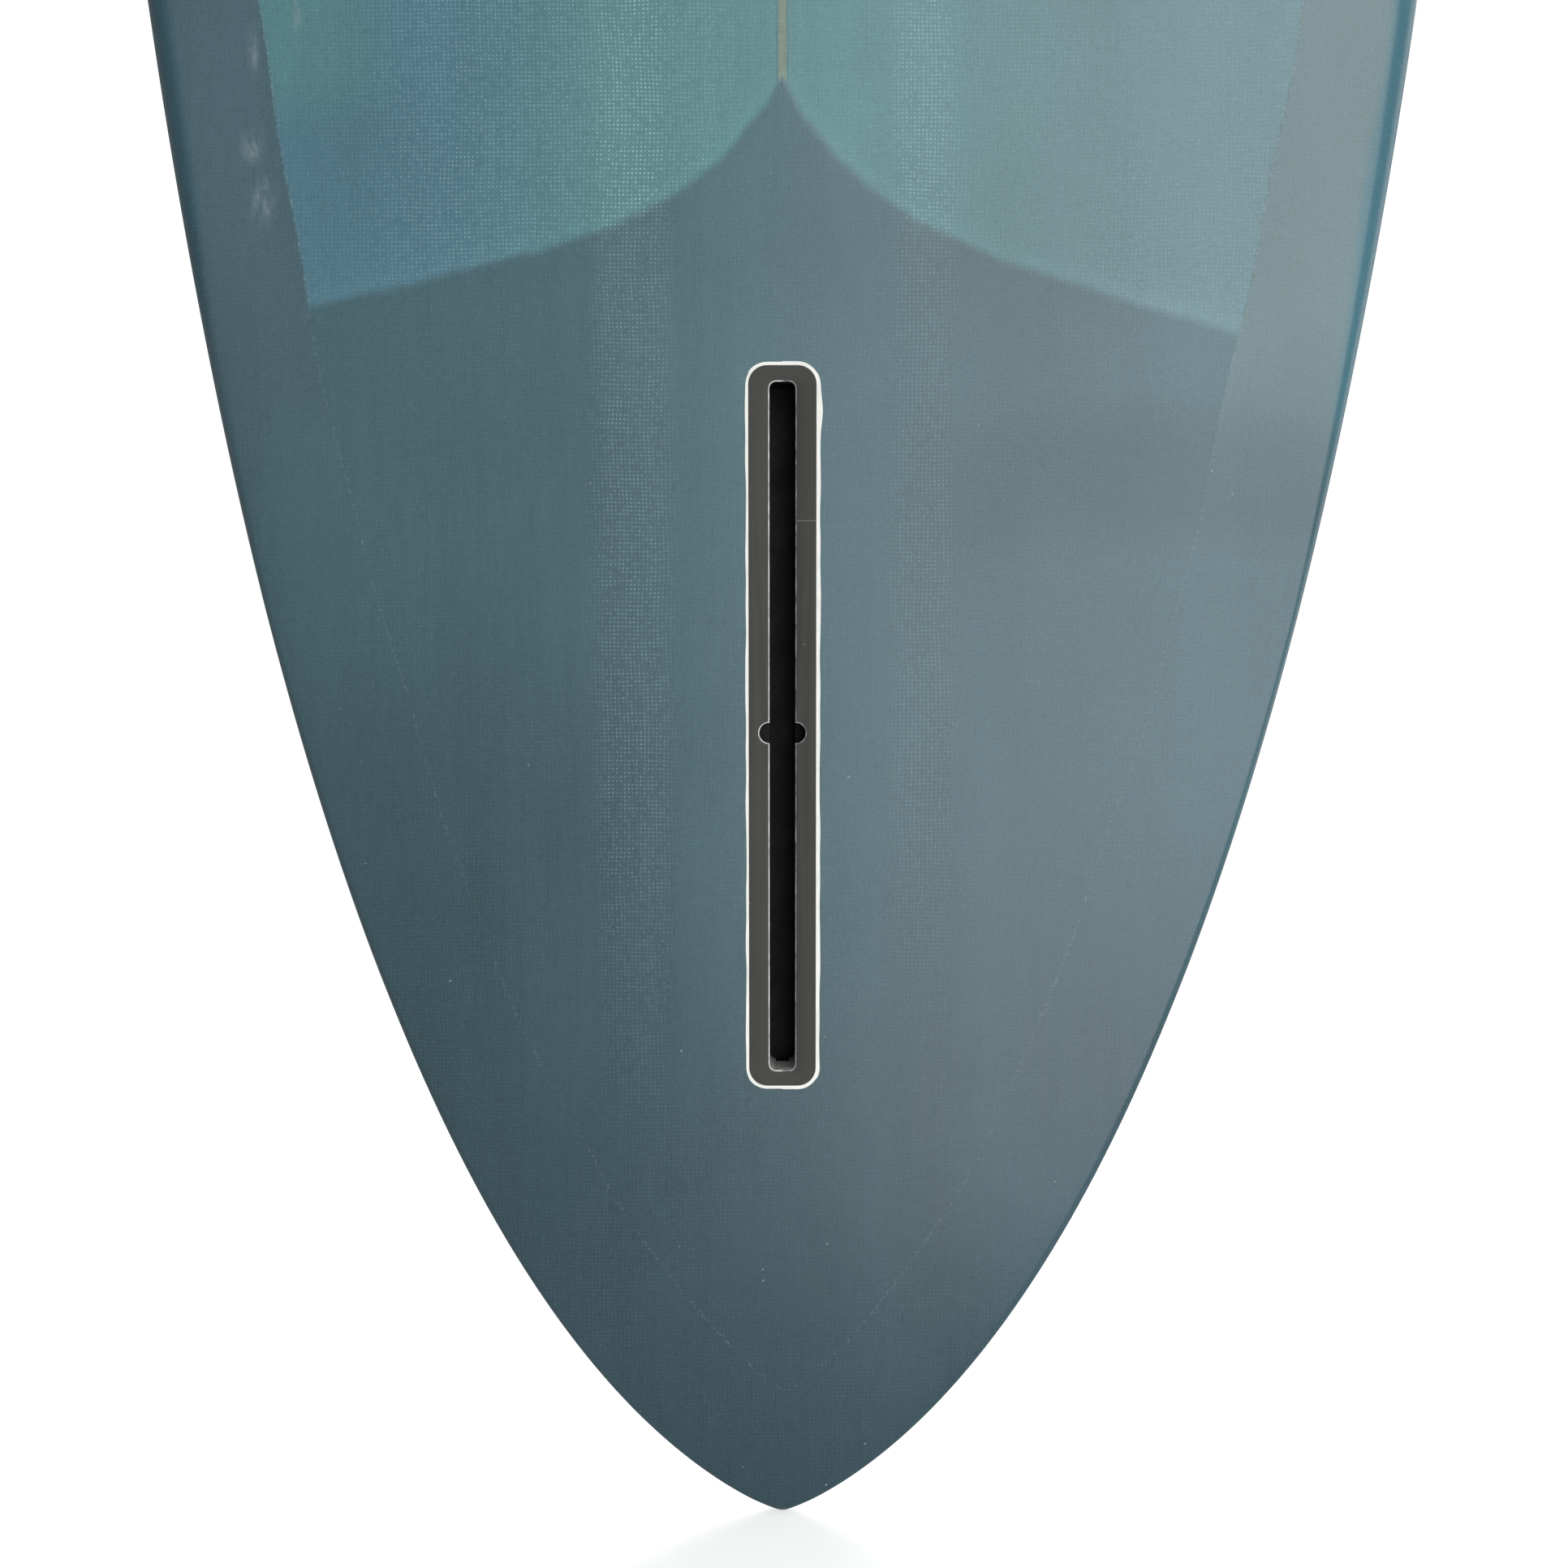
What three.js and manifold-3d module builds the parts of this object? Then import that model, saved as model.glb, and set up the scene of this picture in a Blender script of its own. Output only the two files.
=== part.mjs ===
// A mid-length single-fin surfboard: a rounded-pin board with a long fin box let into its bottom.
// It stands on its tail: +Z runs from the tail tip to the nose, the bottom faces -Y and the deck +Y.
// The origin is the tail tip, on the centre line, at the level of the bottom.
import * as THREE from "three";
import { mergeVertices } from "three/addons/utils/BufferGeometryUtils.js";
import Module from "manifold-3d";

const wasm = await Module();
wasm.setup();

// ---- Driving dimensions, in millimetres ----
const LENGTH = 2286;
const HALF_WIDTH = 270;
const WIDE_POINT = 1184;
const THICKNESS = 70;
const TIP_THICKNESS = 11;
const CENTRE = LENGTH / 2;

// Rocker: the bottom is straight where the fin box sits, and flat at FLAT_SPOT.
const BOX_SLOPE = 0.083;
const STRAIGHT_START = 150;
const STRAIGHT_END = 480;
const FLAT_SPOT = 1150;
const TAIL_KICK = 2;
const NOSE_LIFT = 110;
const BOTTOM_ROLL = 3;

// Skin: two layers of glass cloth and resin, each SHEET thick, with GAP kept between pieces.
const SHEET = 0.8;
const GAP = 0.3;
const INNER_SKIN = SHEET + GAP;
const SKIN = 2 * SHEET + GAP;
const CORE = SKIN + GAP;
const LAP = 45;

// Tail patch: its front edge is an ogee with its point on the centre line.
const PATCH_POINT = 543.5;
const PATCH_DROP = 45;
const PATCH_SPREAD = 29.5;
const PATCH_RAKE = 0.25;

// Stringer: a wooden strip glued between the two halves of the foam.
const STRINGER = 3;
const GLUE = 0.7;

// Fin box: BOX_PLACE is the height of its middle above the tail tip.
const BOX_LENGTH = 271.5;
const BOX_WIDTH = 25.4;
const BOX_DEPTH = 25.4;
const BOX_CORNER = 7;
const BOX_PLACE = 305.7;
const SLOT_LENGTH = 259.5;
const SLOT_WIDTH = 9.7;
const SLOT_DEPTH = 20;
const SLOT_CORNER = 2.5;
const CHANNEL_TOP = 5;
const CHANNEL_BOTTOM = 8.8;
const CHANNEL_WIDTH = 15.6;
const NOTCH_WIDTH = 17.4;
const NOTCH_HEIGHT = 7.6;
const NOTCH_PLACE = -0.7;
const BED = 1.5;

// Leash plug, let into the deck on the centre line.
const PLUG_PLACE = 105;
const PLUG_RADIUS = 14;
const PLUG_DEPTH = 16;
const PLUG_BOWL = 10.5;
const PLUG_FLOOR = 13;
const PIN_RADIUS = 2;
const PIN_DEPTH = 5;

// ---- Working with solids ----

// A closed geometry as a solid that can be joined and cut.
function solid(geometry) {
  const bare = geometry.clone();
  bare.deleteAttribute("normal");
  bare.deleteAttribute("uv");
  const merged = mergeVertices(bare, 1e-4);
  return new wasm.Manifold(
    new wasm.Mesh({
      numProp: 3,
      vertProperties: new Float32Array(merged.attributes.position.array),
      triVerts: new Uint32Array(merged.index.array),
    }),
  );
}

// A solid back as a geometry that can be drawn.
function drawn(body) {
  const mesh = body.getMesh();
  const geometry = new THREE.BufferGeometry();
  geometry.setAttribute("position", new THREE.BufferAttribute(mesh.vertProperties, 3));
  geometry.setIndex(new THREE.BufferAttribute(mesh.triVerts, 1));
  const faceted = geometry.toNonIndexed();
  faceted.computeVertexNormals();
  return faceted;
}

// A closed skin over rings that all have the same number of points, with a fan over each end.
function loft(rings) {
  const count = rings[0].length;
  const points = rings.flat();
  const faces = [];
  rings.slice(1).forEach((_, row) => {
    for (let i = 0; i < count; i++) {
      const a = row * count + i;
      const b = row * count + ((i + 1) % count);
      faces.push(a, b, b + count, a, b + count, a + count);
    }
  });
  [0, rings.length - 1].forEach((row) => {
    const middle = new THREE.Vector3();
    rings[row].forEach((p) => middle.addScaledVector(p, 1 / count));
    points.push(middle);
    for (let i = 0; i < count; i++) {
      const a = row * count + i;
      const b = row * count + ((i + 1) % count);
      faces.push(points.length - 1, row ? a : b, row ? b : a);
    }
  });
  const geometry = new THREE.BufferGeometry().setFromPoints(points);
  geometry.setIndex(faces);
  return geometry;
}

// A flat shape, drawn across the board (x) and along it (y), made solid between two depths.
function slab(shape, from, to) {
  const geometry = new THREE.ExtrudeGeometry(shape, {
    depth: to - from,
    bevelEnabled: false,
    curveSegments: 5,
  });
  return geometry.rotateX(Math.PI / 2).translate(0, to, 0);
}

// A rectangle with round corners, centred across the board, with its middle at height `place`.
function roundedBar(width, length, corner, place = 0) {
  const x = width / 2 - corner;
  const z = length / 2 - corner;
  const quarter = Math.PI / 2;
  const shape = new THREE.Shape();
  shape.absarc(x, place - z, corner, -quarter, 0);
  shape.absarc(x, place + z, corner, 0, quarter);
  shape.absarc(-x, place + z, corner, quarter, 2 * quarter);
  shape.absarc(-x, place - z, corner, 2 * quarter, 3 * quarter);
  return shape;
}

// ---- The board's own shape ----

// Plan shape: one curve from the tail tip to the widest point and one on to the nose,
// as (distance from the tail tip, half-width).
const tailCurve = new THREE.CubicBezierCurve(
  new THREE.Vector2(0, 0),
  new THREE.Vector2(46.5, 116.5),
  new THREE.Vector2(319.5, HALF_WIDTH),
  new THREE.Vector2(WIDE_POINT, HALF_WIDTH),
);
const noseCurve = new THREE.CubicBezierCurve(
  new THREE.Vector2(WIDE_POINT, HALF_WIDTH),
  new THREE.Vector2(1824, HALF_WIDTH),
  new THREE.Vector2(2262, 190),
  new THREE.Vector2(LENGTH, 0),
);

// Stations along the board, each {z, w, lean}: lean turns a thickness square to the outline
// into one measured straight across.
function stations(tailSteps, noseSteps) {
  const read = (curve, t) => {
    const p = curve.getPoint(t);
    const along = curve.getTangent(t);
    return { z: p.x, w: p.y, lean: 1 / Math.max(0.12, along.x) };
  };
  const list = [];
  for (let i = 0; i <= tailSteps; i++) list.push(read(tailCurve, i / tailSteps));
  for (let i = 1; i <= noseSteps; i++) list.push(read(noseCurve, i / noseSteps));
  return list;
}

// How far the bottom line has risen from the flat spot towards the tips.
function lift(z) {
  if (z >= FLAT_SPOT) return NOSE_LIFT * ((z - FLAT_SPOT) / (LENGTH - FLAT_SPOT)) ** 2.6;
  const curved = Math.min(FLAT_SPOT - z, FLAT_SPOT - STRAIGHT_END);
  const straight = Math.max(0, STRAIGHT_END - z);
  const kick = TAIL_KICK * (Math.max(0, STRAIGHT_START - z) / STRAIGHT_START) ** 2;
  return (BOX_SLOPE * curved ** 2) / (2 * (FLAT_SPOT - STRAIGHT_END)) + BOX_SLOPE * straight + kick;
}

// Depth of the bottom at the centre line.
function bottomY(z) {
  return lift(z) - lift(0);
}

// Thickness at the centre line.
function thickness(z) {
  const near = z < CENTRE ? z / CENTRE : (LENGTH - z) / (LENGTH - CENTRE);
  const fullness = z < CENTRE ? 0.7 : 0.9;
  return TIP_THICKNESS + (THICKNESS - TIP_THICKNESS) * (1 - (1 - near) ** 2.2) ** fullness;
}

// Depth of the rail's outermost line, measured from the bottom: low and hard at the tail.
function railHeight(z) {
  const soft = THREE.MathUtils.smoothstep(z, 0, CENTRE);
  return thickness(z) * (0.22 + 0.14 * soft);
}

// How far in from the rail the bottom starts to turn up.
function railTuck(z, w) {
  const soft = THREE.MathUtils.clamp((z - 350) / 800, 0, 1);
  return Math.min(4 + 30 * soft, 0.45 * w);
}

// Half of a cross-section, from the bottom's centre round the rail to the deck's centre,
// set `inset` inside the board's outer surface.
function halfSection({ z, w, lean }, inset) {
  const width = w - inset * lean;
  const tuck = Math.max(railTuck(z, w) - inset, 0.3);
  const flat = width - tuck;
  const low = bottomY(z) + inset;
  const high = bottomY(z) + thickness(z) - inset;
  const roll = BOTTOM_ROLL * Math.min(1, w / 150);
  const rollAt = (x) => roll * (Math.max(0, x - 20) / Math.max(w - 20, 1)) ** 2;
  const edge = low + rollAt(flat);
  const rail = Math.max(bottomY(z) + railHeight(z), edge + 0.5);
  const points = [0, 0.3, 0.65].map((s) => new THREE.Vector2(flat * s, low + rollAt(flat * s)));
  for (let i = 0; i <= 3; i++) {
    const turn = (i / 4) * (Math.PI / 2);
    points.push(
      new THREE.Vector2(flat + tuck * Math.sin(turn), edge + (rail - edge) * (1 - Math.cos(turn))),
    );
  }
  for (let i = 0; i <= 6; i++) {
    const turn = (i / 6) * (Math.PI / 2);
    const x = width * Math.cos(turn) ** (2 / 2.8);
    points.push(new THREE.Vector2(i < 6 ? x : 0, rail + (high - rail) * Math.sin(turn) ** (2 / 1.8)));
  }
  return points;
}

// The board's form set `inset` inside its outer surface.
function hull(inset) {
  const rings = stations(20, 14)
    .map((s, i, all) => {
      // The tips are blunt: the first and last stations keep a small width.
      const blunt = i === 0 || i === all.length - 1;
      return blunt ? { z: s.z, w: 2, lean: 1 } : s;
    })
    .filter((s) => s.w - inset * s.lean > 1.2)
    .filter((s) => inset === 0 || (s.z > inset && s.z < LENGTH - inset))
    .map((s, i, all) => {
      // Each inner form stops its own inset short of its end stations, so the tips keep their gaps.
      const short = i === 0 ? inset : i === all.length - 1 ? -inset : 0;
      const z = s.z + short;
      const half = halfSection({ ...s, z }, inset);
      const other = half.slice(1, -1).reverse();
      return [
        ...half.map((p) => new THREE.Vector3(p.x, p.y, z)),
        ...other.map((p) => new THREE.Vector3(-p.x, p.y, z)),
      ];
    });
  return solid(loft(rings));
}

// Everything from below the bottom up to the rail's outermost line, less `lower`.
function underside(lower) {
  const rings = stations(20, 14).map((s) => {
    const top = bottomY(s.z) + railHeight(s.z) - lower;
    const low = bottomY(s.z) - 20;
    const z = s.z === 0 ? -20 : s.z === LENGTH ? LENGTH + 20 : s.z;
    return [
      new THREE.Vector3(-400, low, z),
      new THREE.Vector3(400, low, z),
      new THREE.Vector3(400, top, z),
      new THREE.Vector3(-400, top, z),
    ];
  });
  return solid(loft(rings));
}

// The outline moved `inset` inwards all round, as a solid that goes right through the board.
function insetOutline(inset) {
  const side = stations(30, 20)
    .map(({ z, w, lean }) => {
      const slope = Math.sqrt(Math.max(0, 1 - 1 / lean ** 2)) * (z < WIDE_POINT ? 1 : -1);
      return new THREE.Vector2(w - inset / lean, z + inset * slope);
    })
    .filter((p) => p.x > 0.5);
  const tailEnd = new THREE.Vector2(0, side[0].y - 0.6 * side[0].x);
  const noseEnd = new THREE.Vector2(0, side.at(-1).y + 0.3 * side.at(-1).x);
  const left = side.map((p) => new THREE.Vector2(-p.x, p.y)).reverse();
  return solid(slab(new THREE.Shape([tailEnd, ...side, noseEnd, ...left]), -200, 200));
}

// Everything behind the tail patch's front edge, with that edge moved `inset` towards the tail.
function behindPatchEdge(inset) {
  const edge = [-400, -230, -150, -95, -60, -38, -22, -11, -4, 0]
    .map((x) => {
      const drop = PATCH_DROP * (1 - Math.exp(x / PATCH_SPREAD)) - PATCH_RAKE * x;
      return new THREE.Vector2(x, PATCH_POINT - drop - inset);
    });
  const other = edge.slice(0, -1).map((p) => new THREE.Vector2(-p.x, p.y)).reverse();
  const corners = [new THREE.Vector2(400, -50), new THREE.Vector2(-400, -50)];
  return solid(slab(new THREE.Shape([...edge, ...other, ...corners].reverse()), -200, 200));
}

// ---- Pieces ----

const board = new THREE.Group();

function addPiece(name, geometry, material) {
  const mesh = new THREE.Mesh(geometry, material);
  mesh.name = name;
  board.add(mesh);
  return mesh;
}

function finish(color, roughness, metalness = 0) {
  return new THREE.MeshStandardMaterial({ color, roughness, metalness });
}

// A frame on the bottom's centre line at the middle of the fin box, with +Y square into the board.
const boxFrame = new THREE.Matrix4()
  .makeRotationX(Math.atan(BOX_SLOPE))
  .setPosition(0, bottomY(BOX_PLACE), BOX_PLACE);

// A frame on the deck's centre line at the leash plug, with +Y square out of the deck.
const deckSlope =
  (bottomY(PLUG_PLACE + 5) + thickness(PLUG_PLACE + 5) - bottomY(PLUG_PLACE - 5) - thickness(PLUG_PLACE - 5)) / 10;
const plugFrame = new THREE.Matrix4()
  .makeRotationX(-Math.atan(deckSlope))
  .setPosition(0, bottomY(PLUG_PLACE) + thickness(PLUG_PLACE), PLUG_PLACE);

// The room that the fin box and its resin take up in the board.
function boxPocket() {
  const wider = 2 * (BED + 2 * GAP);
  const shape = roundedBar(BOX_WIDTH + wider, BOX_LENGTH + wider, BOX_CORNER + wider / 2);
  return solid(slab(shape, -10, BOX_DEPTH + BED + 2 * GAP).applyMatrix4(boxFrame));
}

// The room that the leash plug and its resin take up in the deck.
function plugPocket() {
  const radius = PLUG_RADIUS + BED + 2 * GAP;
  const depth = PLUG_DEPTH + BED + 2 * GAP;
  const geometry = new THREE.CylinderGeometry(radius, radius, depth + 8, 24);
  return solid(geometry.translate(0, 4 - depth / 2, 0).applyMatrix4(plugFrame));
}

// A slice of the whole board between two distances across it.
function slice(from, to) {
  const geometry = new THREE.BoxGeometry(to - from, 600, LENGTH + 200);
  return solid(geometry.translate((from + to) / 2, 0, CENTRE));
}

function addCore(pockets) {
  const core = hull(CORE).subtract(pockets);
  const half = STRINGER / 2;
  const glueIn = half + GAP;
  const glueOut = glueIn + GLUE;
  addPiece("stringer", drawn(core.intersect(slice(-half, half))), finish(0xb79b6e, 0.7));
  ["left", "right"].forEach((side) => {
    const across = (from, to) => (side === "right" ? slice(from, to) : slice(-to, -from));
    addPiece(
      "glue_line_" + side,
      drawn(core.intersect(across(glueIn, glueOut))),
      finish(0x2f3a3a, 0.6),
    );
    addPiece(
      "foam_" + side,
      drawn(core.intersect(across(glueOut + GAP, 400))),
      finish(0xe8e2cf, 0.9),
    );
  });
}

function addSkin(pockets) {
  const outer = hull(0);
  const outerSheet = outer.subtract(hull(SHEET));
  const innerSheet = hull(INNER_SKIN).subtract(hull(SKIN));
  const bothSheets = outer.subtract(hull(SKIN));
  const below = underside(0);
  const belowRail = underside(GAP);

  // The deck's cloth wraps both rails and laps on to the bottom. It is doubled above the rails.
  const open = below.intersect(insetOutline(LAP));
  const deck = outerSheet.subtract(open).add(bothSheets.subtract(below));
  addPiece("deck_laminate", drawn(deck.subtract(pockets)), finish(0x5d7f8a, 0.4));

  // The bottom's cloth runs under the laps and the patch, and its resin is level with them
  // where neither covers it.
  const under = innerSheet.intersect(belowRail);
  const bare = bothSheets
    .intersect(belowRail)
    .intersect(insetOutline(LAP + GAP))
    .subtract(behindPatchEdge(-GAP));
  addPiece("bottom_laminate", drawn(under.add(bare).subtract(pockets)), finish(0x64919f, 0.4));

  // The second layer over the tail, butted to the laps.
  const patch = outerSheet
    .intersect(belowRail)
    .intersect(insetOutline(LAP + GAP))
    .intersect(behindPatchEdge(0));
  addPiece("tail_patch", drawn(patch.subtract(pockets)), finish(0x52707b, 0.4));
}

function addFinBox() {
  const wide = 2 * GAP;
  const bed = solid(
    slab(
      roundedBar(BOX_WIDTH + wide + 2 * BED, BOX_LENGTH + wide + 2 * BED, BOX_CORNER + GAP + BED),
      0,
      BOX_DEPTH + GAP + BED,
    ),
  ).subtract(
    solid(slab(roundedBar(BOX_WIDTH + wide, BOX_LENGTH + wide, BOX_CORNER + GAP), -1, BOX_DEPTH + GAP)),
  );

  // The slot's floor curves up to the face at the tail end.
  const half = SLOT_LENGTH / 2;
  const side = new THREE.Shape();
  side.moveTo(-half, -1);
  side.lineTo(-half, 3);
  side.quadraticCurveTo(-half, SLOT_DEPTH, 20 - half, SLOT_DEPTH);
  side.lineTo(half, SLOT_DEPTH);
  side.lineTo(half, -1);
  const profile = new THREE.ExtrudeGeometry(side, { depth: 20, bevelEnabled: false, curveSegments: 6 })
    .rotateY(-Math.PI / 2)
    .rotateZ(0)
    .translate(10, 0, 0);
  const slot = solid(slab(roundedBar(SLOT_WIDTH, SLOT_LENGTH, SLOT_CORNER), -1, SLOT_DEPTH + 1)).intersect(
    solid(profile),
  );

  // A channel under the face lets a fin's cross pin slide, and a notch lets the pin in.
  const channel = solid(
    slab(roundedBar(CHANNEL_WIDTH, SLOT_LENGTH - 8, 1), CHANNEL_TOP, CHANNEL_BOTTOM),
  );
  const notch = solid(
    slab(roundedBar(NOTCH_WIDTH, NOTCH_HEIGHT, NOTCH_HEIGHT / 2 - 0.01, NOTCH_PLACE), -1, CHANNEL_BOTTOM),
  );
  const box = solid(slab(roundedBar(BOX_WIDTH, BOX_LENGTH, BOX_CORNER), 0, BOX_DEPTH))
    .subtract(slot)
    .subtract(channel)
    .subtract(notch);
  [
    addPiece("fin_box_resin", drawn(bed), finish(0xe9e8e2, 0.45)),
    addPiece("fin_box", drawn(box), finish(0x4b4b49, 0.6)),
  ].forEach((mesh) => mesh.applyMatrix4(boxFrame));
}

function addLeashPlug() {
  const turned = (points) => new THREE.LatheGeometry(points.map(([r, y]) => new THREE.Vector2(r, y)), 24);
  const bowl = [1, 2, 3, 4, 5].map((i) => {
    const turn = (i / 5) * (Math.PI / 2);
    return [PLUG_BOWL * Math.cos(turn), -3 - (PLUG_FLOOR - 3) * Math.sin(turn)];
  });
  bowl[4][0] = 0;
  const cup = solid(
    turned([[0, -PLUG_DEPTH], [PLUG_RADIUS, -PLUG_DEPTH], [PLUG_RADIUS, 0], [PLUG_BOWL, 0], [PLUG_BOWL, -3], ...bowl]),
  );
  const holes = new THREE.CylinderGeometry(PIN_RADIUS + GAP, PIN_RADIUS + GAP, 2 * PLUG_RADIUS - 1, 12);
  const pin = new THREE.CylinderGeometry(PIN_RADIUS, PIN_RADIUS, 2 * PLUG_RADIUS - 2, 12);
  [holes, pin].forEach((g) => g.rotateZ(Math.PI / 2).translate(0, -PIN_DEPTH, 0));
  const inside = PLUG_RADIUS + GAP;
  const outside = inside + BED;
  const bed = turned([
    [0, -PLUG_DEPTH - GAP - BED],
    [outside, -PLUG_DEPTH - GAP - BED],
    [outside, 0],
    [inside, 0],
    [inside, -PLUG_DEPTH - GAP],
    [0, -PLUG_DEPTH - GAP],
  ]);
  [
    addPiece("leash_plug_resin", bed, finish(0xe9e8e2, 0.45)),
    addPiece("leash_plug_cup", drawn(cup.subtract(solid(holes))), finish(0x3c4245, 0.5)),
    addPiece("leash_plug_pin", pin, finish(0xb9bcbe, 0.25, 1)),
  ].forEach((mesh) => mesh.applyMatrix4(plugFrame));
}

const pockets = boxPocket().add(plugPocket());
addCore(pockets);
addSkin(pockets);
addFinBox();
addLeashPlug();

export default board;
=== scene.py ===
"""Looks for a mid-length single-fin surfboard, built round its fixed frame.

The board stands on its tail: +Z runs from the tail tip to the nose, the bottom faces -Y and
the deck +Y. All lengths are in metres.
"""

import logging
import math
from dataclasses import dataclass, field
from enum import Enum
from typing import Callable, Iterable, Sequence

import bmesh
import bpy
import numpy as np
from mathutils import Matrix, Vector

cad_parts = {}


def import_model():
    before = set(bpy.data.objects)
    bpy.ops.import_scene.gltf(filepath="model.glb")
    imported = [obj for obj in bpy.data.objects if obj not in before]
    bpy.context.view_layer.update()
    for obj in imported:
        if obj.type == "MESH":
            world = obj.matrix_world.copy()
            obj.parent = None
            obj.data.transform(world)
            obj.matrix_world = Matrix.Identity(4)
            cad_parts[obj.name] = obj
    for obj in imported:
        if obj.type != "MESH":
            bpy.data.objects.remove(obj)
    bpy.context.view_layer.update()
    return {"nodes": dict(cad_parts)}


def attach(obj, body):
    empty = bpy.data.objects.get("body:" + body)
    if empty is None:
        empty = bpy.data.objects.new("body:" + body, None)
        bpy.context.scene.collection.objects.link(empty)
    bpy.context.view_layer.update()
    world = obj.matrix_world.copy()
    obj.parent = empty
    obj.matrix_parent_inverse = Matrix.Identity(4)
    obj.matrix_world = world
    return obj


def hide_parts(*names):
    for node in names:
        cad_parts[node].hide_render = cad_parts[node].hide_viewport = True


log = logging.getLogger("surfboard")

MM = 0.001
Colour = tuple[float, float, float]
Socket = bpy.types.NodeSocket
Value = Socket | float | int


# ---------------------------------------------------------------------------
# The board's form
# ---------------------------------------------------------------------------


class Side(Enum):
    """The two sides of the board, as seen on its bottom with the nose up."""

    LEFT = -1.0
    RIGHT = 1.0


@dataclass(frozen=True)
class BoardForm:
    """Sizes of the board and the formulas of its surface."""

    length: float = 2286 * MM
    half_width: float = 270 * MM
    wide_point: float = 1184 * MM
    thickness: float = 70 * MM
    tip_thickness: float = 11 * MM
    tip_round: float = 7 * MM
    box_slope: float = 0.083
    straight_start: float = 150 * MM
    straight_end: float = 480 * MM
    flat_spot: float = 1150 * MM
    tail_kick: float = 2 * MM
    nose_lift: float = 110 * MM
    bottom_roll: float = 3 * MM
    flat_panel: float = 20 * MM
    lap: float = 45.2 * MM
    patch_point: float = 544.0 * MM
    patch_drop: float = 45 * MM
    patch_spread: float = 29.5 * MM
    rail_power: float = 2.8
    deck_power: float = 1.8
    samples: int = 6000

    def outline(self) -> tuple[np.ndarray, np.ndarray]:
        """The plan shape as dense (height, half-width) points from the tail tip to the nose.

        Returns:
            Heights and half-widths, one curve to the widest point and one on to the nose.
        """
        tail = (
            (0, 0),
            (46.5 * MM, 116.5 * MM),
            (319.5 * MM, self.half_width),
            (self.wide_point, self.half_width),
        )
        nose = (
            (self.wide_point, self.half_width),
            (1824 * MM, self.half_width),
            (2262 * MM, 190 * MM),
            (self.length, 0),
        )
        t = np.linspace(0, 1, self.samples)[:, None]
        curves = []
        for ends in (tail, nose):
            a, b, c, d = (np.array(p) for p in ends)
            curves.append((1 - t) ** 3 * a + 3 * (1 - t) ** 2 * t * b + 3 * (1 - t) * t**2 * c + t**3 * d)
        both = np.vstack([curves[0], curves[1][1:]])
        return both[:, 0], both[:, 1]

    def width_at(self, z: np.ndarray) -> np.ndarray:
        """Half-width at heights z."""
        heights, widths = self.outline()
        return np.interp(z, heights, widths)

    def rows(self, tail_rows: int, nose_rows: int) -> np.ndarray:
        """Heights of the cross-sections, closer together towards both tips.

        Args:
            tail_rows: sections from the tail tip to the widest point.
            nose_rows: sections from there to the nose.

        Returns:
            Rising heights from the tail tip to the nose.
        """
        heights, _ = self.outline()
        tail = heights[np.linspace(0, self.samples - 1, tail_rows + 1).astype(int)]
        nose = heights[np.linspace(self.samples - 1, 2 * self.samples - 2, nose_rows + 1).astype(int)]
        return np.concatenate([tail, nose[1:]])

    def lift(self, z: np.ndarray) -> np.ndarray:
        """How far the bottom's centre line has risen from the flat spot at heights z."""
        z = np.asarray(z, float)
        reach = self.flat_spot - self.straight_end
        curved = np.clip(self.flat_spot - z, 0, reach)
        straight = np.maximum(0, self.straight_end - z)
        kick = self.tail_kick * (np.maximum(0, self.straight_start - z) / self.straight_start) ** 2
        run = np.maximum(0, z - self.flat_spot) / (self.length - self.flat_spot)
        return self.box_slope * (curved**2 / (2 * reach) + straight) + kick + self.nose_lift * run**2.6

    def bottom(self, z: np.ndarray) -> np.ndarray:
        """Depth of the bottom at the centre line."""
        return self.lift(z) - self.lift(0)

    def thick(self, z: np.ndarray) -> np.ndarray:
        """Thickness at the centre line, before the tips are rounded."""
        centre = self.length / 2
        near = np.clip(np.where(z < centre, z / centre, (self.length - z) / centre), 0, 1)
        full = np.where(z < centre, 0.7, 0.9)
        return self.tip_thickness + (self.thickness - self.tip_thickness) * (1 - (1 - near) ** 2.2) ** full

    def tip_share(self, z: np.ndarray) -> np.ndarray:
        """Share of the thickness that is left where the tips round off."""
        end = np.minimum(z, self.length - z) / self.tip_round
        return np.sqrt(np.clip(1 - (1 - np.clip(end, 0, 1)) ** 2, 0, 1))

    def rail_height(self, z: np.ndarray) -> np.ndarray:
        """Depth of the rail's outermost line from the bottom."""
        soft = np.clip(z / (self.length / 2), 0, 1)
        soft = soft * soft * (3 - 2 * soft)
        return self.thick(z) * (0.22 + 0.14 * soft)

    def tuck(self, z: np.ndarray, w: np.ndarray) -> np.ndarray:
        """How far in from the rail the bottom starts to turn up."""
        soft = np.clip((z - 0.35) / 0.8, 0, 1)
        return np.minimum(4 * MM + 30 * MM * soft, 0.45 * w)

    def roll_at(self, x: np.ndarray, w: np.ndarray) -> np.ndarray:
        """How far the bottom has rolled up at a distance x from the centre line."""
        roll = self.bottom_roll * np.minimum(1, w / 0.15)
        across = np.maximum(0, np.abs(x) - self.flat_panel) / np.maximum(w - self.flat_panel, MM)
        return roll * across**2

    def bottom_at(self, x: np.ndarray, z: np.ndarray) -> np.ndarray:
        """Depth of the bottom surface at (x, z), inside the tuck."""
        w = self.width_at(z)
        plain = self.bottom(z) + self.roll_at(x, w)
        middle = self.bottom(z) + 0.5 * self.thick(z)
        return middle + (plain - middle) * self.tip_share(z)

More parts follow.
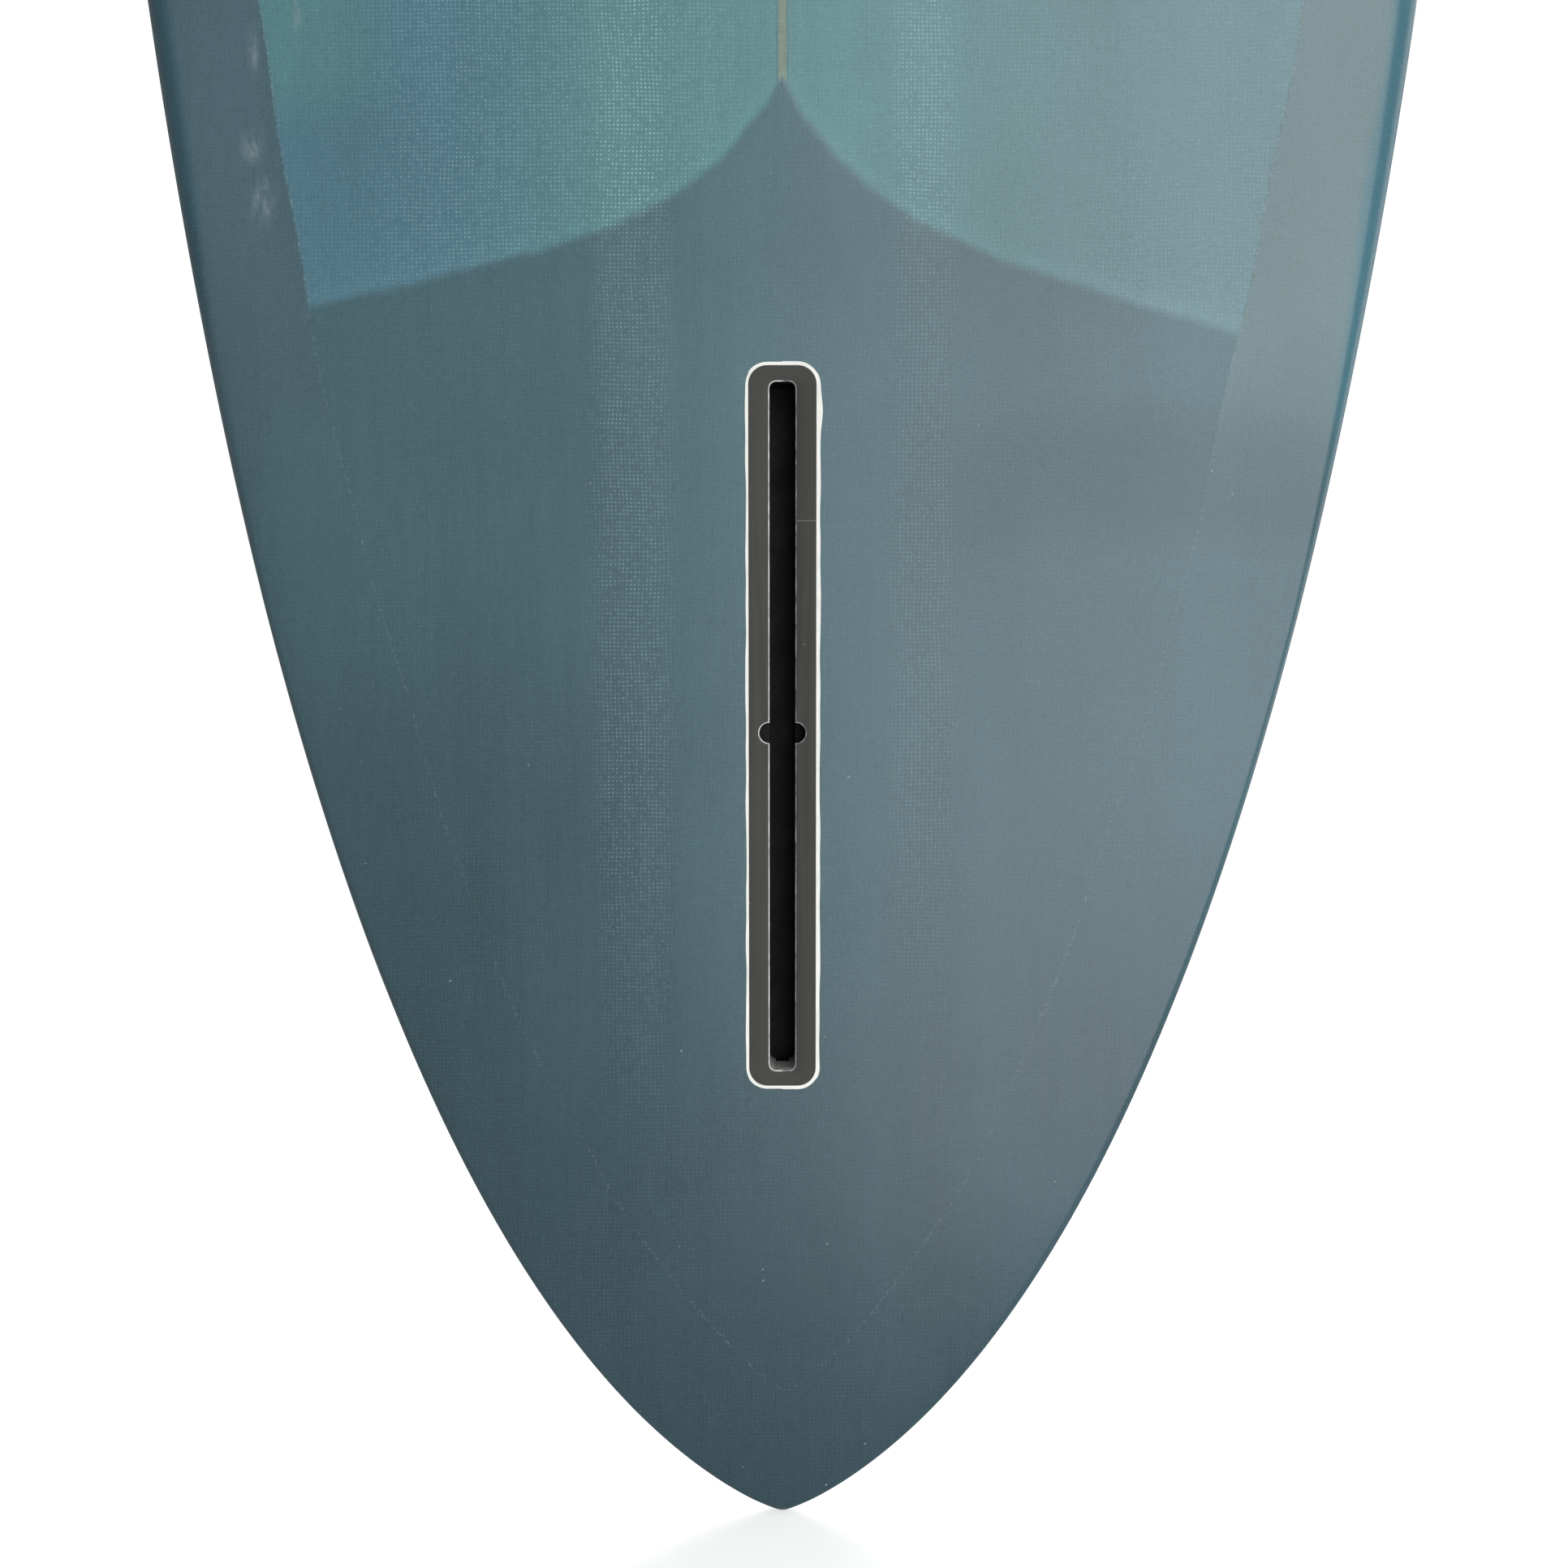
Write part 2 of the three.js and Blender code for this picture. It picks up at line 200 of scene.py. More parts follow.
    def half_section(self, z: float, w: float, inner: float, counts: Sequence[int]) -> np.ndarray:
        """The skin from the lap line round the rail to the deck's centre line.

        Args:
            z: height of the section.
            w: half-width there.
            inner: distance of the lap line from the centre line.
            counts: steps across the lap, round the tuck and over the deck.

        Returns:
            Rows of (distance from the centre line, depth).
        """
        tuck = float(self.tuck(z, w))
        flat = max(w - tuck, inner)
        low, thick = float(self.bottom(z)), float(self.thick(z))
        edge = low + float(self.roll_at(flat, w))
        rail = max(low + float(self.rail_height(z)), edge + 0.2 * MM)
        high = low + thick
        across = np.linspace(inner, flat, counts[0], endpoint=False)
        lap = [(x, low + float(self.roll_at(x, w))) for x in across]
        turn = np.linspace(0, math.pi / 2, counts[1], endpoint=False)
        around = [
            (flat + (w - flat) * math.sin(a), edge + (rail - edge) * (1 - math.cos(a)))
            for a in turn
        ]
        rise = np.linspace(0, math.pi / 2, counts[2] + 1)
        over = [
            (
                w * max(math.cos(a), 0.0) ** (2 / self.rail_power),
                rail + (high - rail) * math.sin(a) ** (2 / self.deck_power),
            )
            for a in rise
        ]
        points = np.array(lap + around + over)
        points[-1, 0] = 0
        middle = low + 0.5 * thick
        points[:, 1] = middle + (points[:, 1] - middle) * float(self.tip_share(z))
        return points

    def lap_line(self, side: Side) -> tuple[np.ndarray, np.ndarray]:
        """The line where the deck's cloth ends on the bottom, as cut by hand on one side.

        Args:
            side: which side of the board.

        Returns:
            Heights and distances from the centre line.
        """
        heights, widths = self.outline()
        along = np.gradient(heights)
        across = np.gradient(widths)
        size = np.hypot(along, across)
        s = side.value
        wobble = (
            0.7 * np.sin(heights / 0.034 + 1.3 * s)
            + 0.5 * np.sin(heights / 0.0135 + 2.1 * s)
            + 0.9 * np.sin(heights / 0.121 - 0.7 * s)
            - (1.2 + 1.3 * s) * np.exp(-heights / 0.06)
            + 1.2 * s * np.clip(heights / 0.4, 0, 1)
        ) * MM
        inset = self.lap + wobble
        z = heights + inset * across / size
        x = widths - inset * along / size
        keep = x > -2 * MM
        z, x = z[keep], x[keep]
        order = np.argsort(z, kind="stable")
        return z[order], np.maximum(x[order], 0)

    def patch_edge(self, x: np.ndarray) -> np.ndarray:
        """Height of the tail patch's front edge: an ogee with its point on the centre line."""
        rake = np.where(x < 0, 0.21, 0.276)
        x = np.abs(x)
        return self.patch_point - self.patch_drop * (1 - np.exp(-x / self.patch_spread)) - rake * x


@dataclass(frozen=True)
class Place:
    """A flat spot on the board that a fitting is let into."""

    point: Vector
    tilt: float

    def matrix(self) -> Matrix:
        """Turns and moves a fitting from the origin to its place."""
        return Matrix.Translation(self.point) @ Matrix.Rotation(self.tilt, 4, "X")


# ---------------------------------------------------------------------------
# Working in the modelling window
# ---------------------------------------------------------------------------


class Bench:
    """Modelling steps that every piece uses."""

    @staticmethod
    def clear() -> None:
        """Deselects everything."""
        if bpy.context.object and bpy.context.object.mode != "OBJECT":
            bpy.ops.object.mode_set(mode="OBJECT")
        bpy.ops.object.select_all(action="DESELECT")

    @staticmethod
    def pick(piece: bpy.types.Object) -> None:
        """Makes one object the active and only selected one."""
        Bench.clear()
        piece.select_set(True)
        bpy.context.view_layer.objects.active = piece

    @staticmethod
    def grid(name: str, columns: int, rows: int) -> bpy.types.Object:
        """A flat sheet of quads to be pulled to shape.

        Args:
            name: the new piece's name.
            columns: faces across.
            rows: faces along.

        Returns:
            The sheet, (columns + 1) * (rows + 1) points, row by row.
        """
        Bench.clear()
        bpy.ops.mesh.primitive_grid_add(x_subdivisions=columns, y_subdivisions=rows, size=1)
        sheet = bpy.context.object
        sheet.name = sheet.data.name = name
        return sheet

    @staticmethod
    def pull(sheet: bpy.types.Object, points: np.ndarray) -> None:
        """Moves a sheet's points, row by row, to the given places."""
        sheet.data.vertices.foreach_set("co", points.reshape(-1).astype(np.float32))
        sheet.data.update()

    @staticmethod
    def weld(piece: bpy.types.Object, distance: float, outward: bool = True) -> None:
        """Merges points that lie together and turns the faces outwards."""
        Bench.pick(piece)
        bpy.ops.object.mode_set(mode="EDIT")
        bpy.ops.mesh.select_all(action="SELECT")
        bpy.ops.mesh.remove_doubles(threshold=distance)
        bpy.ops.mesh.dissolve_degenerate(threshold=distance / 4)
        bpy.ops.mesh.select_all(action="SELECT")
        if outward:
            bpy.ops.mesh.normals_make_consistent(inside=False)
        bpy.ops.object.mode_set(mode="OBJECT")

    @staticmethod
    def face_away(piece: bpy.types.Object, centre: Callable[[Vector], Vector]) -> None:
        """Turns an open sheet so that its faces look away from the board's middle.

        Args:
            piece: the sheet.
            centre: gives the board's middle nearest to a point.
        """
        score = sum((p.center - centre(p.center)).dot(p.normal) * p.area for p in piece.data.polygons)
        if score < 0:
            Bench.pick(piece)
            bpy.ops.object.mode_set(mode="EDIT")
            bpy.ops.mesh.select_all(action="SELECT")
            bpy.ops.mesh.flip_normals()
            bpy.ops.object.mode_set(mode="OBJECT")

    @staticmethod
    def apply(piece: bpy.types.Object, kind: str, **settings: object) -> None:
        """Adds a modifier with the given settings and applies it."""
        Bench.pick(piece)
        modifier = piece.modifiers.new(kind.title(), kind)
        for key, value in settings.items():
            setattr(modifier, key, value)
        bpy.ops.object.modifier_apply(modifier=modifier.name)

    @staticmethod
    def cut(piece: bpy.types.Object, *cutters: bpy.types.Object, how: str = "DIFFERENCE") -> None:
        """Cuts or joins a piece with others, which are used up."""
        for cutter in cutters:
            Bench.apply(piece, "BOOLEAN", object=cutter, operation=how, solver="EXACT")
            bpy.data.objects.remove(cutter, do_unlink=True)

    @staticmethod
    def block(name: str, low: Vector, high: Vector) -> bpy.types.Object:
        """A box between two corners."""
        Bench.clear()
        bpy.ops.mesh.primitive_cube_add(size=1, location=(low + high) / 2)
        block = bpy.context.object
        block.name = block.data.name = name
        block.scale = high - low
        bpy.ops.object.transform_apply(location=True, rotation=True, scale=True)
        return block

    @staticmethod
    def round_edges(
        piece: bpy.types.Object,
        chosen: Callable[[Vector, Vector], bool],
        radius: float,
        steps: int,
        material: int = 0,
    ) -> None:
        """Rounds the edges that a rule picks by their two ends.

        Args:
            piece: the piece.
            chosen: true for an edge with these ends.
            radius: radius of the round.
            steps: faces round it.
            material: slot of the material that the new faces get.
        """
        if material:
            for _ in range(material + 1 - len(piece.data.materials)):
                piece.data.materials.append(None)
        Bench.select_edges(piece, chosen)
        bpy.ops.mesh.bevel(
            offset=radius,
            offset_type="OFFSET",
            segments=steps,
            profile=0.5,
            affect="EDGES",
            material=material,
        )
        bpy.ops.object.mode_set(mode="OBJECT")

    @staticmethod
    def select_edges(piece: bpy.types.Object, chosen: Callable[[Vector, Vector], bool]) -> None:
        """Goes into edit mode with only the edges selected that a rule picks by their ends."""
        Bench.pick(piece)
        bpy.ops.object.mode_set(mode="EDIT")
        bpy.ops.mesh.select_mode(type="EDGE")
        bpy.ops.mesh.select_all(action="DESELECT")
        mesh = bmesh.from_edit_mesh(piece.data)
        for edge in mesh.edges:
            edge.select_set(chosen(edge.verts[0].co, edge.verts[1].co))
        bmesh.update_edit_mesh(piece.data)

    @staticmethod
    def divide(piece: bpy.types.Object, chosen: Callable[[Vector, Vector], bool], cuts: int) -> None:
        """Splits the edges that a rule picks into cuts + 1 parts."""
        Bench.select_edges(piece, chosen)
        bpy.ops.mesh.subdivide(number_cuts=cuts)
        bpy.ops.object.mode_set(mode="OBJECT")

    @staticmethod
    def rounded_block(
        name: str, width: float, length: float, near: float, far: float, corner: float, place: float = 0.0
    ) -> bpy.types.Object:
        """A bar with round ends, let into the board.

        Args:
            name: the piece's name.
            width: size across the board.
            length: size along the board.
            near: depth of its outer face.
            far: depth of its inner face.
            corner: radius of its four corners.
            place: height of its middle.

        Returns:
            The bar.
        """
        low = Vector((-width / 2, near, place - length / 2))
        high = Vector((width / 2, far, place + length / 2))
        bar = Bench.block(name, low, high)
        Bench.round_edges(bar, lambda a, b: abs(a.y - b.y) > 1e-5, corner, 10)
        return bar

    @staticmethod
    def cylinder(
        name: str, radius: float, length: float, turn: tuple[float, float, float]
    ) -> bpy.types.Object:
        """A round bar centred on the origin and turned to its direction."""
        Bench.clear()
        bpy.ops.mesh.primitive_cylinder_add(vertices=64, radius=radius, depth=length, rotation=turn)
        bar = bpy.context.object
        bar.name = bar.data.name = name
        bpy.ops.object.transform_apply(location=True, rotation=True, scale=True)
        return bar

    @staticmethod
    def shift(piece: bpy.types.Object, by: Vector) -> None:
        """Moves a piece's points."""
        piece.data.transform(Matrix.Translation(by))

    @staticmethod
    def put(piece: bpy.types.Object, place: Place) -> None:
        """Moves a fitting from the origin to its place, in its mesh."""
        piece.matrix_world = place.matrix()
        Bench.pick(piece)
        bpy.ops.object.transform_apply(location=True, rotation=True, scale=True)

    @staticmethod
    def smooth(piece: bpy.types.Object, angle: float = 35.0) -> None:
        """Shades a piece smoothly over edges flatter than an angle in degrees."""
        Bench.pick(piece)
        bpy.ops.object.shade_smooth_by_angle(angle=math.radians(angle))

    @staticmethod
    def paint(piece: bpy.types.Object, name: str, values: np.ndarray) -> None:
        """Stores one number for each of a piece's points."""
        layer = piece.data.attributes.new(name, "FLOAT", "POINT")
        layer.data.foreach_set("value", values.astype(np.float32))

    @staticmethod
    def points(piece: bpy.types.Object) -> np.ndarray:
        """A piece's points as rows of (x, y, z)."""
        co = np.empty(3 * len(piece.data.vertices), np.float32)
        piece.data.vertices.foreach_get("co", co)
        return co.reshape(-1, 3).astype(float)


# ---------------------------------------------------------------------------
# Wiring materials
# ---------------------------------------------------------------------------


class Wiring:
    """A short way to add shader nodes to one material or group."""

    def __init__(self, tree: bpy.types.NodeTree) -> None:
        """Wires into the given tree."""
        self.tree = tree

    def node(self, kind: str, **settings: object) -> bpy.types.Node:
        """Adds a node and sets its options."""
        made = self.tree.nodes.new(kind)
        for key, value in settings.items():
            setattr(made, key, value)
        return made

    def feed(self, socket: Socket, value: object) -> None:
        """Links an output to a socket, or sets the socket to a plain value."""
        if isinstance(value, bpy.types.NodeSocket):
            self.tree.links.new(value, socket)
        elif isinstance(value, tuple) and len(value) == 3 and socket.type == "RGBA":
            socket.default_value = (*value, 1.0)
        else:
            socket.default_value = value

    def math(self, how: str, a: Value, b: Value = 0.0, c: Value = 0.0, clamp: bool = False) -> Socket:
        """One arithmetic step."""
        made = self.node("ShaderNodeMath", operation=how, use_clamp=clamp)
        for slot, value in zip(made.inputs, (a, b, c)):
            self.feed(slot, value)
        return made.outputs[0]

    def swing(self, value: Value, amount: Value, middle: float = 1.0) -> Socket:
        """Turns a 0 to 1 value into one that swings about a middle by an amount."""
        return self.math("MULTIPLY_ADD", self.math("SUBTRACT", value, 0.5), amount, middle)

    def near(self, value: Value, centre: float, inner: float, outer: float) -> Socket:
        """1 within inner of a centre, falling to 0 at outer."""
        return self.step(self.math("ABSOLUTE", self.math("SUBTRACT", value, centre)), outer, inner)

    def product(self, *values: Value) -> Socket:
        """The product of several values."""
        total = values[0]
        for value in values[1:]:
            total = self.math("MULTIPLY", total, value)
        return total

    def step(self, value: Value, low: float, high: float) -> Socket:
        """Rises smoothly from 0 at low to 1 at high. low may be the larger."""
        made = self.node("ShaderNodeMapRange", interpolation_type="SMOOTHSTEP")
        flip = low > high
        for slot, number in zip((1, 2, 3, 4), (min(low, high), max(low, high), float(flip), float(not flip))):
            made.inputs[slot].default_value = number
        self.feed(made.inputs[0], value)
        return made.outputs[0]

    def mix(self, share: Value, a: object, b: object, how: str = "MIX") -> Socket:
        """Mixes two colours."""
        made = self.node("ShaderNodeMix", data_type="RGBA", blend_type=how, clamp_factor=True)
        self.feed(made.inputs[0], share)
        self.feed(made.inputs[6], a)
        self.feed(made.inputs[7], b)
        return made.outputs[2]

    def place(self) -> Socket:
        """The piece's own coordinates, in metres."""
        return self.node("ShaderNodeTexCoord").outputs["Object"]

    def split(self, vector: Socket) -> tuple[Socket, Socket, Socket]:
        """The three parts of a vector."""
        made = self.node("ShaderNodeSeparateXYZ")
        self.feed(made.inputs[0], vector)
        return made.outputs[0], made.outputs[1], made.outputs[2]

    def stretch(self, vector: Socket, scale: tuple[float, float, float], turn: float = 0.0) -> Socket:
        """Scales coordinates along each axis, after a turn about Y in degrees."""
        turned = vector
        if turn:
            spin = self.node("ShaderNodeVectorRotate", rotation_type="Y_AXIS")
            self.feed(spin.inputs["Vector"], vector)
            spin.inputs["Angle"].default_value = math.radians(turn)
            turned = spin.outputs[0]
        made = self.node("ShaderNodeVectorMath", operation="MULTIPLY")
        self.feed(made.inputs[0], turned)
        made.inputs[1].default_value = scale
        return made.outputs[0]

    def noise(self, vector: Socket, scale: float = 1.0, detail: float = 2.0, rough: float = 0.5) -> Socket:
        """Soft noise from 0 to 1."""
        made = self.node("ShaderNodeTexNoise", noise_dimensions="3D")
        self.feed(made.inputs["Vector"], vector)
        made.inputs["Scale"].default_value = scale
        made.inputs["Detail"].default_value = detail
        made.inputs["Roughness"].default_value = rough
        return made.outputs[0]

    def attribute(self, name: str) -> Socket:
        """A number stored on the piece's points."""
        made = self.node("ShaderNodeAttribute", attribute_name=name)
        return made.outputs["Fac"]

    def group(self, name: str, **values: object) -> bpy.types.Node:
        """Places a shared group and gives its inputs their values."""
        made = self.node("ShaderNodeGroup", node_tree=bpy.data.node_groups[name])
        for key, value in values.items():
            self.feed(made.inputs[key.replace("_", " ")], value)
        return made

    def bump(self, height: Socket, distance: float, strength: float = 1.0) -> Socket:
        """A surface relief of the given height in metres."""
        made = self.node("ShaderNodeBump")
        made.inputs["Strength"].default_value = strength
        made.inputs["Distance"].default_value = distance
        self.feed(made.inputs["Height"], height)
        return made.outputs[0]


class Effects:
    """Shader node groups shared by the materials."""

    @staticmethod
    def start(
        name: str, inputs: Iterable[tuple[str, float]], outputs: Iterable[str]
    ) -> tuple[Wiring, object, object]:
        """Opens a group with a Vector input, number inputs and number outputs.

        Args:
            name: the group's name.
            inputs: names and usual values of its number inputs.
            outputs: names of its outputs.

        Returns:
            Its wiring, its input node and its output node.
        """
        tree = bpy.data.node_groups.new(name, "ShaderNodeTree")
        tree.interface.new_socket("Vector", in_out="INPUT", socket_type="NodeSocketVector")
        for label, usual in inputs:
            socket = tree.interface.new_socket(label, in_out="INPUT", socket_type="NodeSocketFloat")
            socket.default_value = usual
        for label in outputs:
            tree.interface.new_socket(label, in_out="OUTPUT", socket_type="NodeSocketFloat")
        wiring = Wiring(tree)
        return wiring, wiring.node("NodeGroupInput"), wiring.node("NodeGroupOutput")

    @staticmethod
    def cloth() -> None:
        """Plain woven glass cloth: a knuckle at each crossing, wandering a little."""
        w, given, out = Effects.start("cloth weave", [("Pitch", 1.5 * MM)], ["Threads"])
        x, _, z = w.split(given.outputs["Vector"])
        drift = w.math("MULTIPLY", w.math("SUBTRACT", w.noise(given.outputs["Vector"], 28, 1), 0.5), 3.2 * MM)
        turns = w.math("DIVIDE", 2 * math.pi, given.outputs["Pitch"])
        rows = []
        for part in (x, z):
            wave = w.math("SINE", w.math("MULTIPLY", w.math("ADD", part, drift), turns))
            rows.append(w.math("MULTIPLY_ADD", wave, 0.5, 0.5))
        w.feed(out.inputs["Threads"], w.product(*rows))

    @staticmethod
    def sanding() -> None:
        """Fine sanding lines that run along the board, with some across at a slant."""
        w, given, out = Effects.start("sanding lines", [("Slant", 0.35)], ["Lines"])
        v = given.outputs["Vector"]
        fine = w.noise(w.stretch(v, (1500, 300, 14), 1.0), 1, 3, 0.6)
        slant = w.noise(w.stretch(v, (1100, 300, 22), -17.0), 1, 2, 0.55)
        long = w.noise(w.stretch(v, (260, 80, 3)), 1, 2, 0.5)
        lines = w.math("ADD", w.math("MULTIPLY", fine, 0.6), w.math("MULTIPLY", long, 0.4))
        mixed = w.math("MULTIPLY", w.math("SUBTRACT", slant, 0.5), given.outputs["Slant"])
        w.feed(out.inputs["Lines"], w.math("ADD", lines, mixed, clamp=True))

    @staticmethod
    def drift() -> None:
        """Uneven depth of the tint: broad clouds and long streaks from the squeegee."""
        w, given, out = Effects.start("tint drift", [("Streaks", 0.5)], ["Depth"])
        v = given.outputs["Vector"]
        clouds = w.noise(v, 9, 3, 0.55)
        streaks = w.noise(w.stretch(v, (34, 8, 2.6), 4.0), 1, 2, 0.5)
        more = w.math("MULTIPLY", w.math("SUBTRACT", streaks, 0.5), given.outputs["Streaks"])
        w.feed(out.inputs["Depth"], w.math("ADD", clouds, more, clamp=True))

    @staticmethod
    def pinholes() -> None:
        """Sparse round specks: pinholes in the resin and dust in it."""
        w, given, out = Effects.start("pinholes", [("Spacing", 9 * MM), ("Share", 0.3)], ["Specks"])
        scale = w.math("DIVIDE", 1.0, given.outputs["Spacing"])
        cells = w.node("ShaderNodeTexVoronoi", feature="F1")
        w.feed(cells.inputs["Vector"], given.outputs["Vector"])
        w.feed(cells.inputs["Scale"], scale)
        kept = w.math("LESS_THAN", w.split(cells.outputs["Color"])[0], given.outputs["Share"])
        size = w.math("MULTIPLY_ADD", w.split(cells.outputs["Color"])[1], 0.045, 0.02)
        dot = w.math("LESS_THAN", cells.outputs["Distance"], size)
        w.feed(out.inputs["Specks"], w.math("MULTIPLY", dot, kept))

    @staticmethod
    def grain() -> None:
        """Close grain along the board, for wood and brushed metal."""
        w, given, out = Effects.start("long grain", [("Coarse", 1.0)], ["Grain"])
        v = w.stretch(given.outputs["Vector"], (900, 700, 9))
        scaled = w.node("ShaderNodeVectorMath", operation="SCALE")
        w.feed(scaled.inputs[0], v)
        w.feed(scaled.inputs["Scale"], given.outputs["Coarse"])
        w.feed(out.inputs["Grain"], w.noise(scaled.outputs[0], 1, 4, 0.6))

    @staticmethod
    def make_all() -> None:
        """Builds every group once."""
        for build in (Effects.cloth, Effects.sanding, Effects.drift, Effects.pinholes, Effects.grain):
            build()


# ---------------------------------------------------------------------------
# Finishes
# ---------------------------------------------------------------------------


@dataclass(frozen=True)
class Finish:
    """A material with a plain roughness, made once and shared."""

    name: str
    roughness: float = 0.5

    def open(self) -> tuple[bpy.types.Material, Wiring, bpy.types.Node]:
        """Starts the material.

        Returns:
            The material, its wiring and its Principled shader.
        """
        material = bpy.data.materials.new(self.name)
        material.use_nodes = True
        shader = material.node_tree.nodes["Principled BSDF"]
        shader.inputs["Roughness"].default_value = self.roughness
        return material, Wiring(material.node_tree), shader

    def make(self) -> bpy.types.Material:
        """Builds the material."""
        raise NotImplementedError


@dataclass(frozen=True)
class TintedSkin(Finish):
    """Tinted resin over glass cloth, one layer deep in places and two in others."""

    roughness: float = 0.31
    blue: Colour = (0.094, 0.208, 0.266)
    teal: Colour = (0.101, 0.240, 0.252)
    double: Colour = (0.073, 0.146, 0.172)
    lap_double: Colour = (0.078, 0.140, 0.170)
    # Painted sheen: greyer, lighter lap and teal tints for the right side, where the light falls.
    lap_right_sheen: Colour = (0.120, 0.200, 0.212)
    teal_right_sheen: Colour = (0.115, 0.222, 0.250)
    # Painted shade: a darker two-layer tint for the tail tip.
    double_tail_shade: Colour = (0.036, 0.073, 0.091)
    # Painted reflection: a blue band along the turned rail, with a darker tint on the left side as painted
    # shade.
    rail: Colour = (0.052, 0.165, 0.215)
    left_rail_shade: Colour = (0.036, 0.100, 0.130)
    wood: Colour = (0.27, 0.29, 0.20)
    glue: Colour = (0.045, 0.085, 0.090)
    # A whitish haze for scuffs and bubbles in the resin, and the painted sheen of the sanded strips.
    haze_and_sheen: Colour = (0.36, 0.43, 0.44)
    glint: Colour = (0.34, 0.55, 0.60)
    half_stringer: float = 1.45 * MM
    # Sanded strips where the cloth shows through, with a painted sheen that lightens them: x centre, inner,
    # outer, strength.
    sanded_sheen_strips: tuple[tuple[float, float, float, float], ...] = (
        (-0.056, 0.007, 0.021, 1.0),
        (0.0525, 0.005, 0.018, 0.6),
    )
    scuffs: tuple[tuple[float, float, float, float], ...] = (
        (-0.192, 0.500, 0.007, 0.013),
        (-0.195, 0.520, 0.006, 0.009),
        (-0.194, 0.555, 0.003, 0.012),
        (-0.178, 0.566, 0.003, 0.016),
    )
    bubble: tuple[float, float, float] = (0.1330, 0.4705, 2.3 * MM)
    # Painted light and shade: soft patches on the underside that scale the tint up where the gain is positive
    # and down where it is negative; each is x centre, inner, outer, z centre, inner, outer, gain.
    light_and_shade_patches: tuple[tuple[float, float, float, float, float, float, float], ...] = (
        (-0.30, 0.17, 0.30, 0.22, 0.06, 0.20, -0.22),
        (-0.09, 0.02, 0.05, 0.33, 0.07, 0.14, -0.07),
        (-0.25, 0.02, 0.10, 0.33, 0.06, 0.17, -0.26),
        (0.0, 0.03, 0.09, 0.53, 0.05, 0.15, 0.15),
        (0.04, 0.07, 0.12, 0.56, 0.06, 0.14, -0.08),
        (-0.16, 0.02, 0.07, 0.60, 0.04, 0.10, 0.08),
        (0.19, 0.08, 0.16, 0.400, 0.008, 0.035, -0.14),
        (0.145, 0.02, 0.05, 0.45, 0.01, 0.03, 0.08),
        (0.09, 0.02, 0.05, 0.30, 0.10, 0.16, -0.06),
        (0.11, 0.01, 0.04, 0.10, 0.02, 0.06, 0.10),
        (-0.056, 0.008, 0.022, 0.36, 0.12, 0.24, -0.06),
        (0.0525, 0.006, 0.018, 0.30, 0.16, 0.26, -0.06),
    )

    def one_layer(self, w: Wiring, place: Socket, doubled: Socket) -> Socket:
        """The colour where the tint is one layer deep, with the stringer showing through.

        Args:
            w: the material's wiring.
            place: the piece's own coordinates.
            doubled: 1 where a second layer covers the first.

        Returns:
            The colour.
        """
        x, _, z = w.split(place)
        pool = w.product(w.step(x, -0.062, -0.125), w.step(z, 0.85, 0.60))
        spot = w.product(w.near(x, -0.180, 0.015, 0.042), w.near(z, 0.575, 0.025, 0.055))
        pool = w.math("MULTIPLY", pool, w.math("MULTIPLY_ADD", spot, -0.85, 1.0))
        drift = w.step(w.noise(w.stretch(place, (4.0, 4.0, 1.3)), 1, 2, 0.5), 0.35, 0.75)
        share = w.math("MAXIMUM", pool, w.product(drift, w.step(z, 0.55, 0.85), 0.55))
        # Painted sheen: the teal turns greyer towards the right side.
        teal = w.mix(w.step(x, 0.05, 0.16), self.teal, self.teal_right_sheen)
        tone = w.mix(share, teal, self.blue)
        across = w.math("ABSOLUTE", x)
        strip = w.step(across, self.half_stringer + 0.45 * MM, self.half_stringer - 0.35 * MM)
        glue = w.step(across, self.half_stringer + 1.1 * MM, self.half_stringer + 0.5 * MM)
        shows = w.math("SUBTRACT", 1.0, doubled)
        grain = w.group("long grain", Vector=place).outputs["Grain"]
        wood = w.mix(grain, tuple(0.75 * c for c in self.wood), tuple(1.2 * c for c in self.wood))
        tone = w.mix(w.product(glue, shows, 0.28), tone, self.glue)
        return w.mix(w.product(strip, shows, 0.60), tone, wood)

    def make(self) -> bpy.types.Material:
        """Builds the tinted skin's material."""
        material, w, shader = self.open()
        place = w.place()
        x, _, z = w.split(place)
        beyond_lap = w.attribute("beyond_lap")
        behind_edge = w.attribute("behind_edge")
        underside = w.attribute("underside")

        ragged = w.swing(w.noise(place, 260, 2, 0.6), 1.1 * MM, 0.0)
        beyond_lap = w.math("ADD", beyond_lap, ragged)
        lap = w.step(beyond_lap, -0.8 * MM, 0.6 * MM)
        ragged_patch = w.swing(w.noise(place, 70, 2, 0.5), 3.4 * MM, 0.0)
        behind_edge = w.math("ADD", behind_edge, ragged_patch)
        patch = w.step(behind_edge, -2.8 * MM, 2.2 * MM)
        doubled = w.math("MAXIMUM", lap, patch)
        single = w.math("SUBTRACT", 1.0, doubled)

        depth = w.group("tint drift", Vector=place, Streaks=0.55).outputs["Depth"]
        threads = w.group("cloth weave", Vector=place).outputs["Threads"]
        lines = w.group("sanding lines", Vector=place).outputs["Lines"]
        specks = w.group("pinholes", Vector=place, Spacing=8 * MM, Share=0.20).outputs["Specks"]

        # Painted sheen: the lap tint is lighter and greyer on the right side, below about 0.65 to 1.05 m.
        right_sheen = w.product(w.step(x, 0.0, 0.17), w.step(z, 1.05, 0.65))
        lapped = w.mix(right_sheen, self.lap_double, self.lap_right_sheen)
        two = w.mix(w.product(lap, w.step(z, 0.37, 0.47)), self.double, lapped)
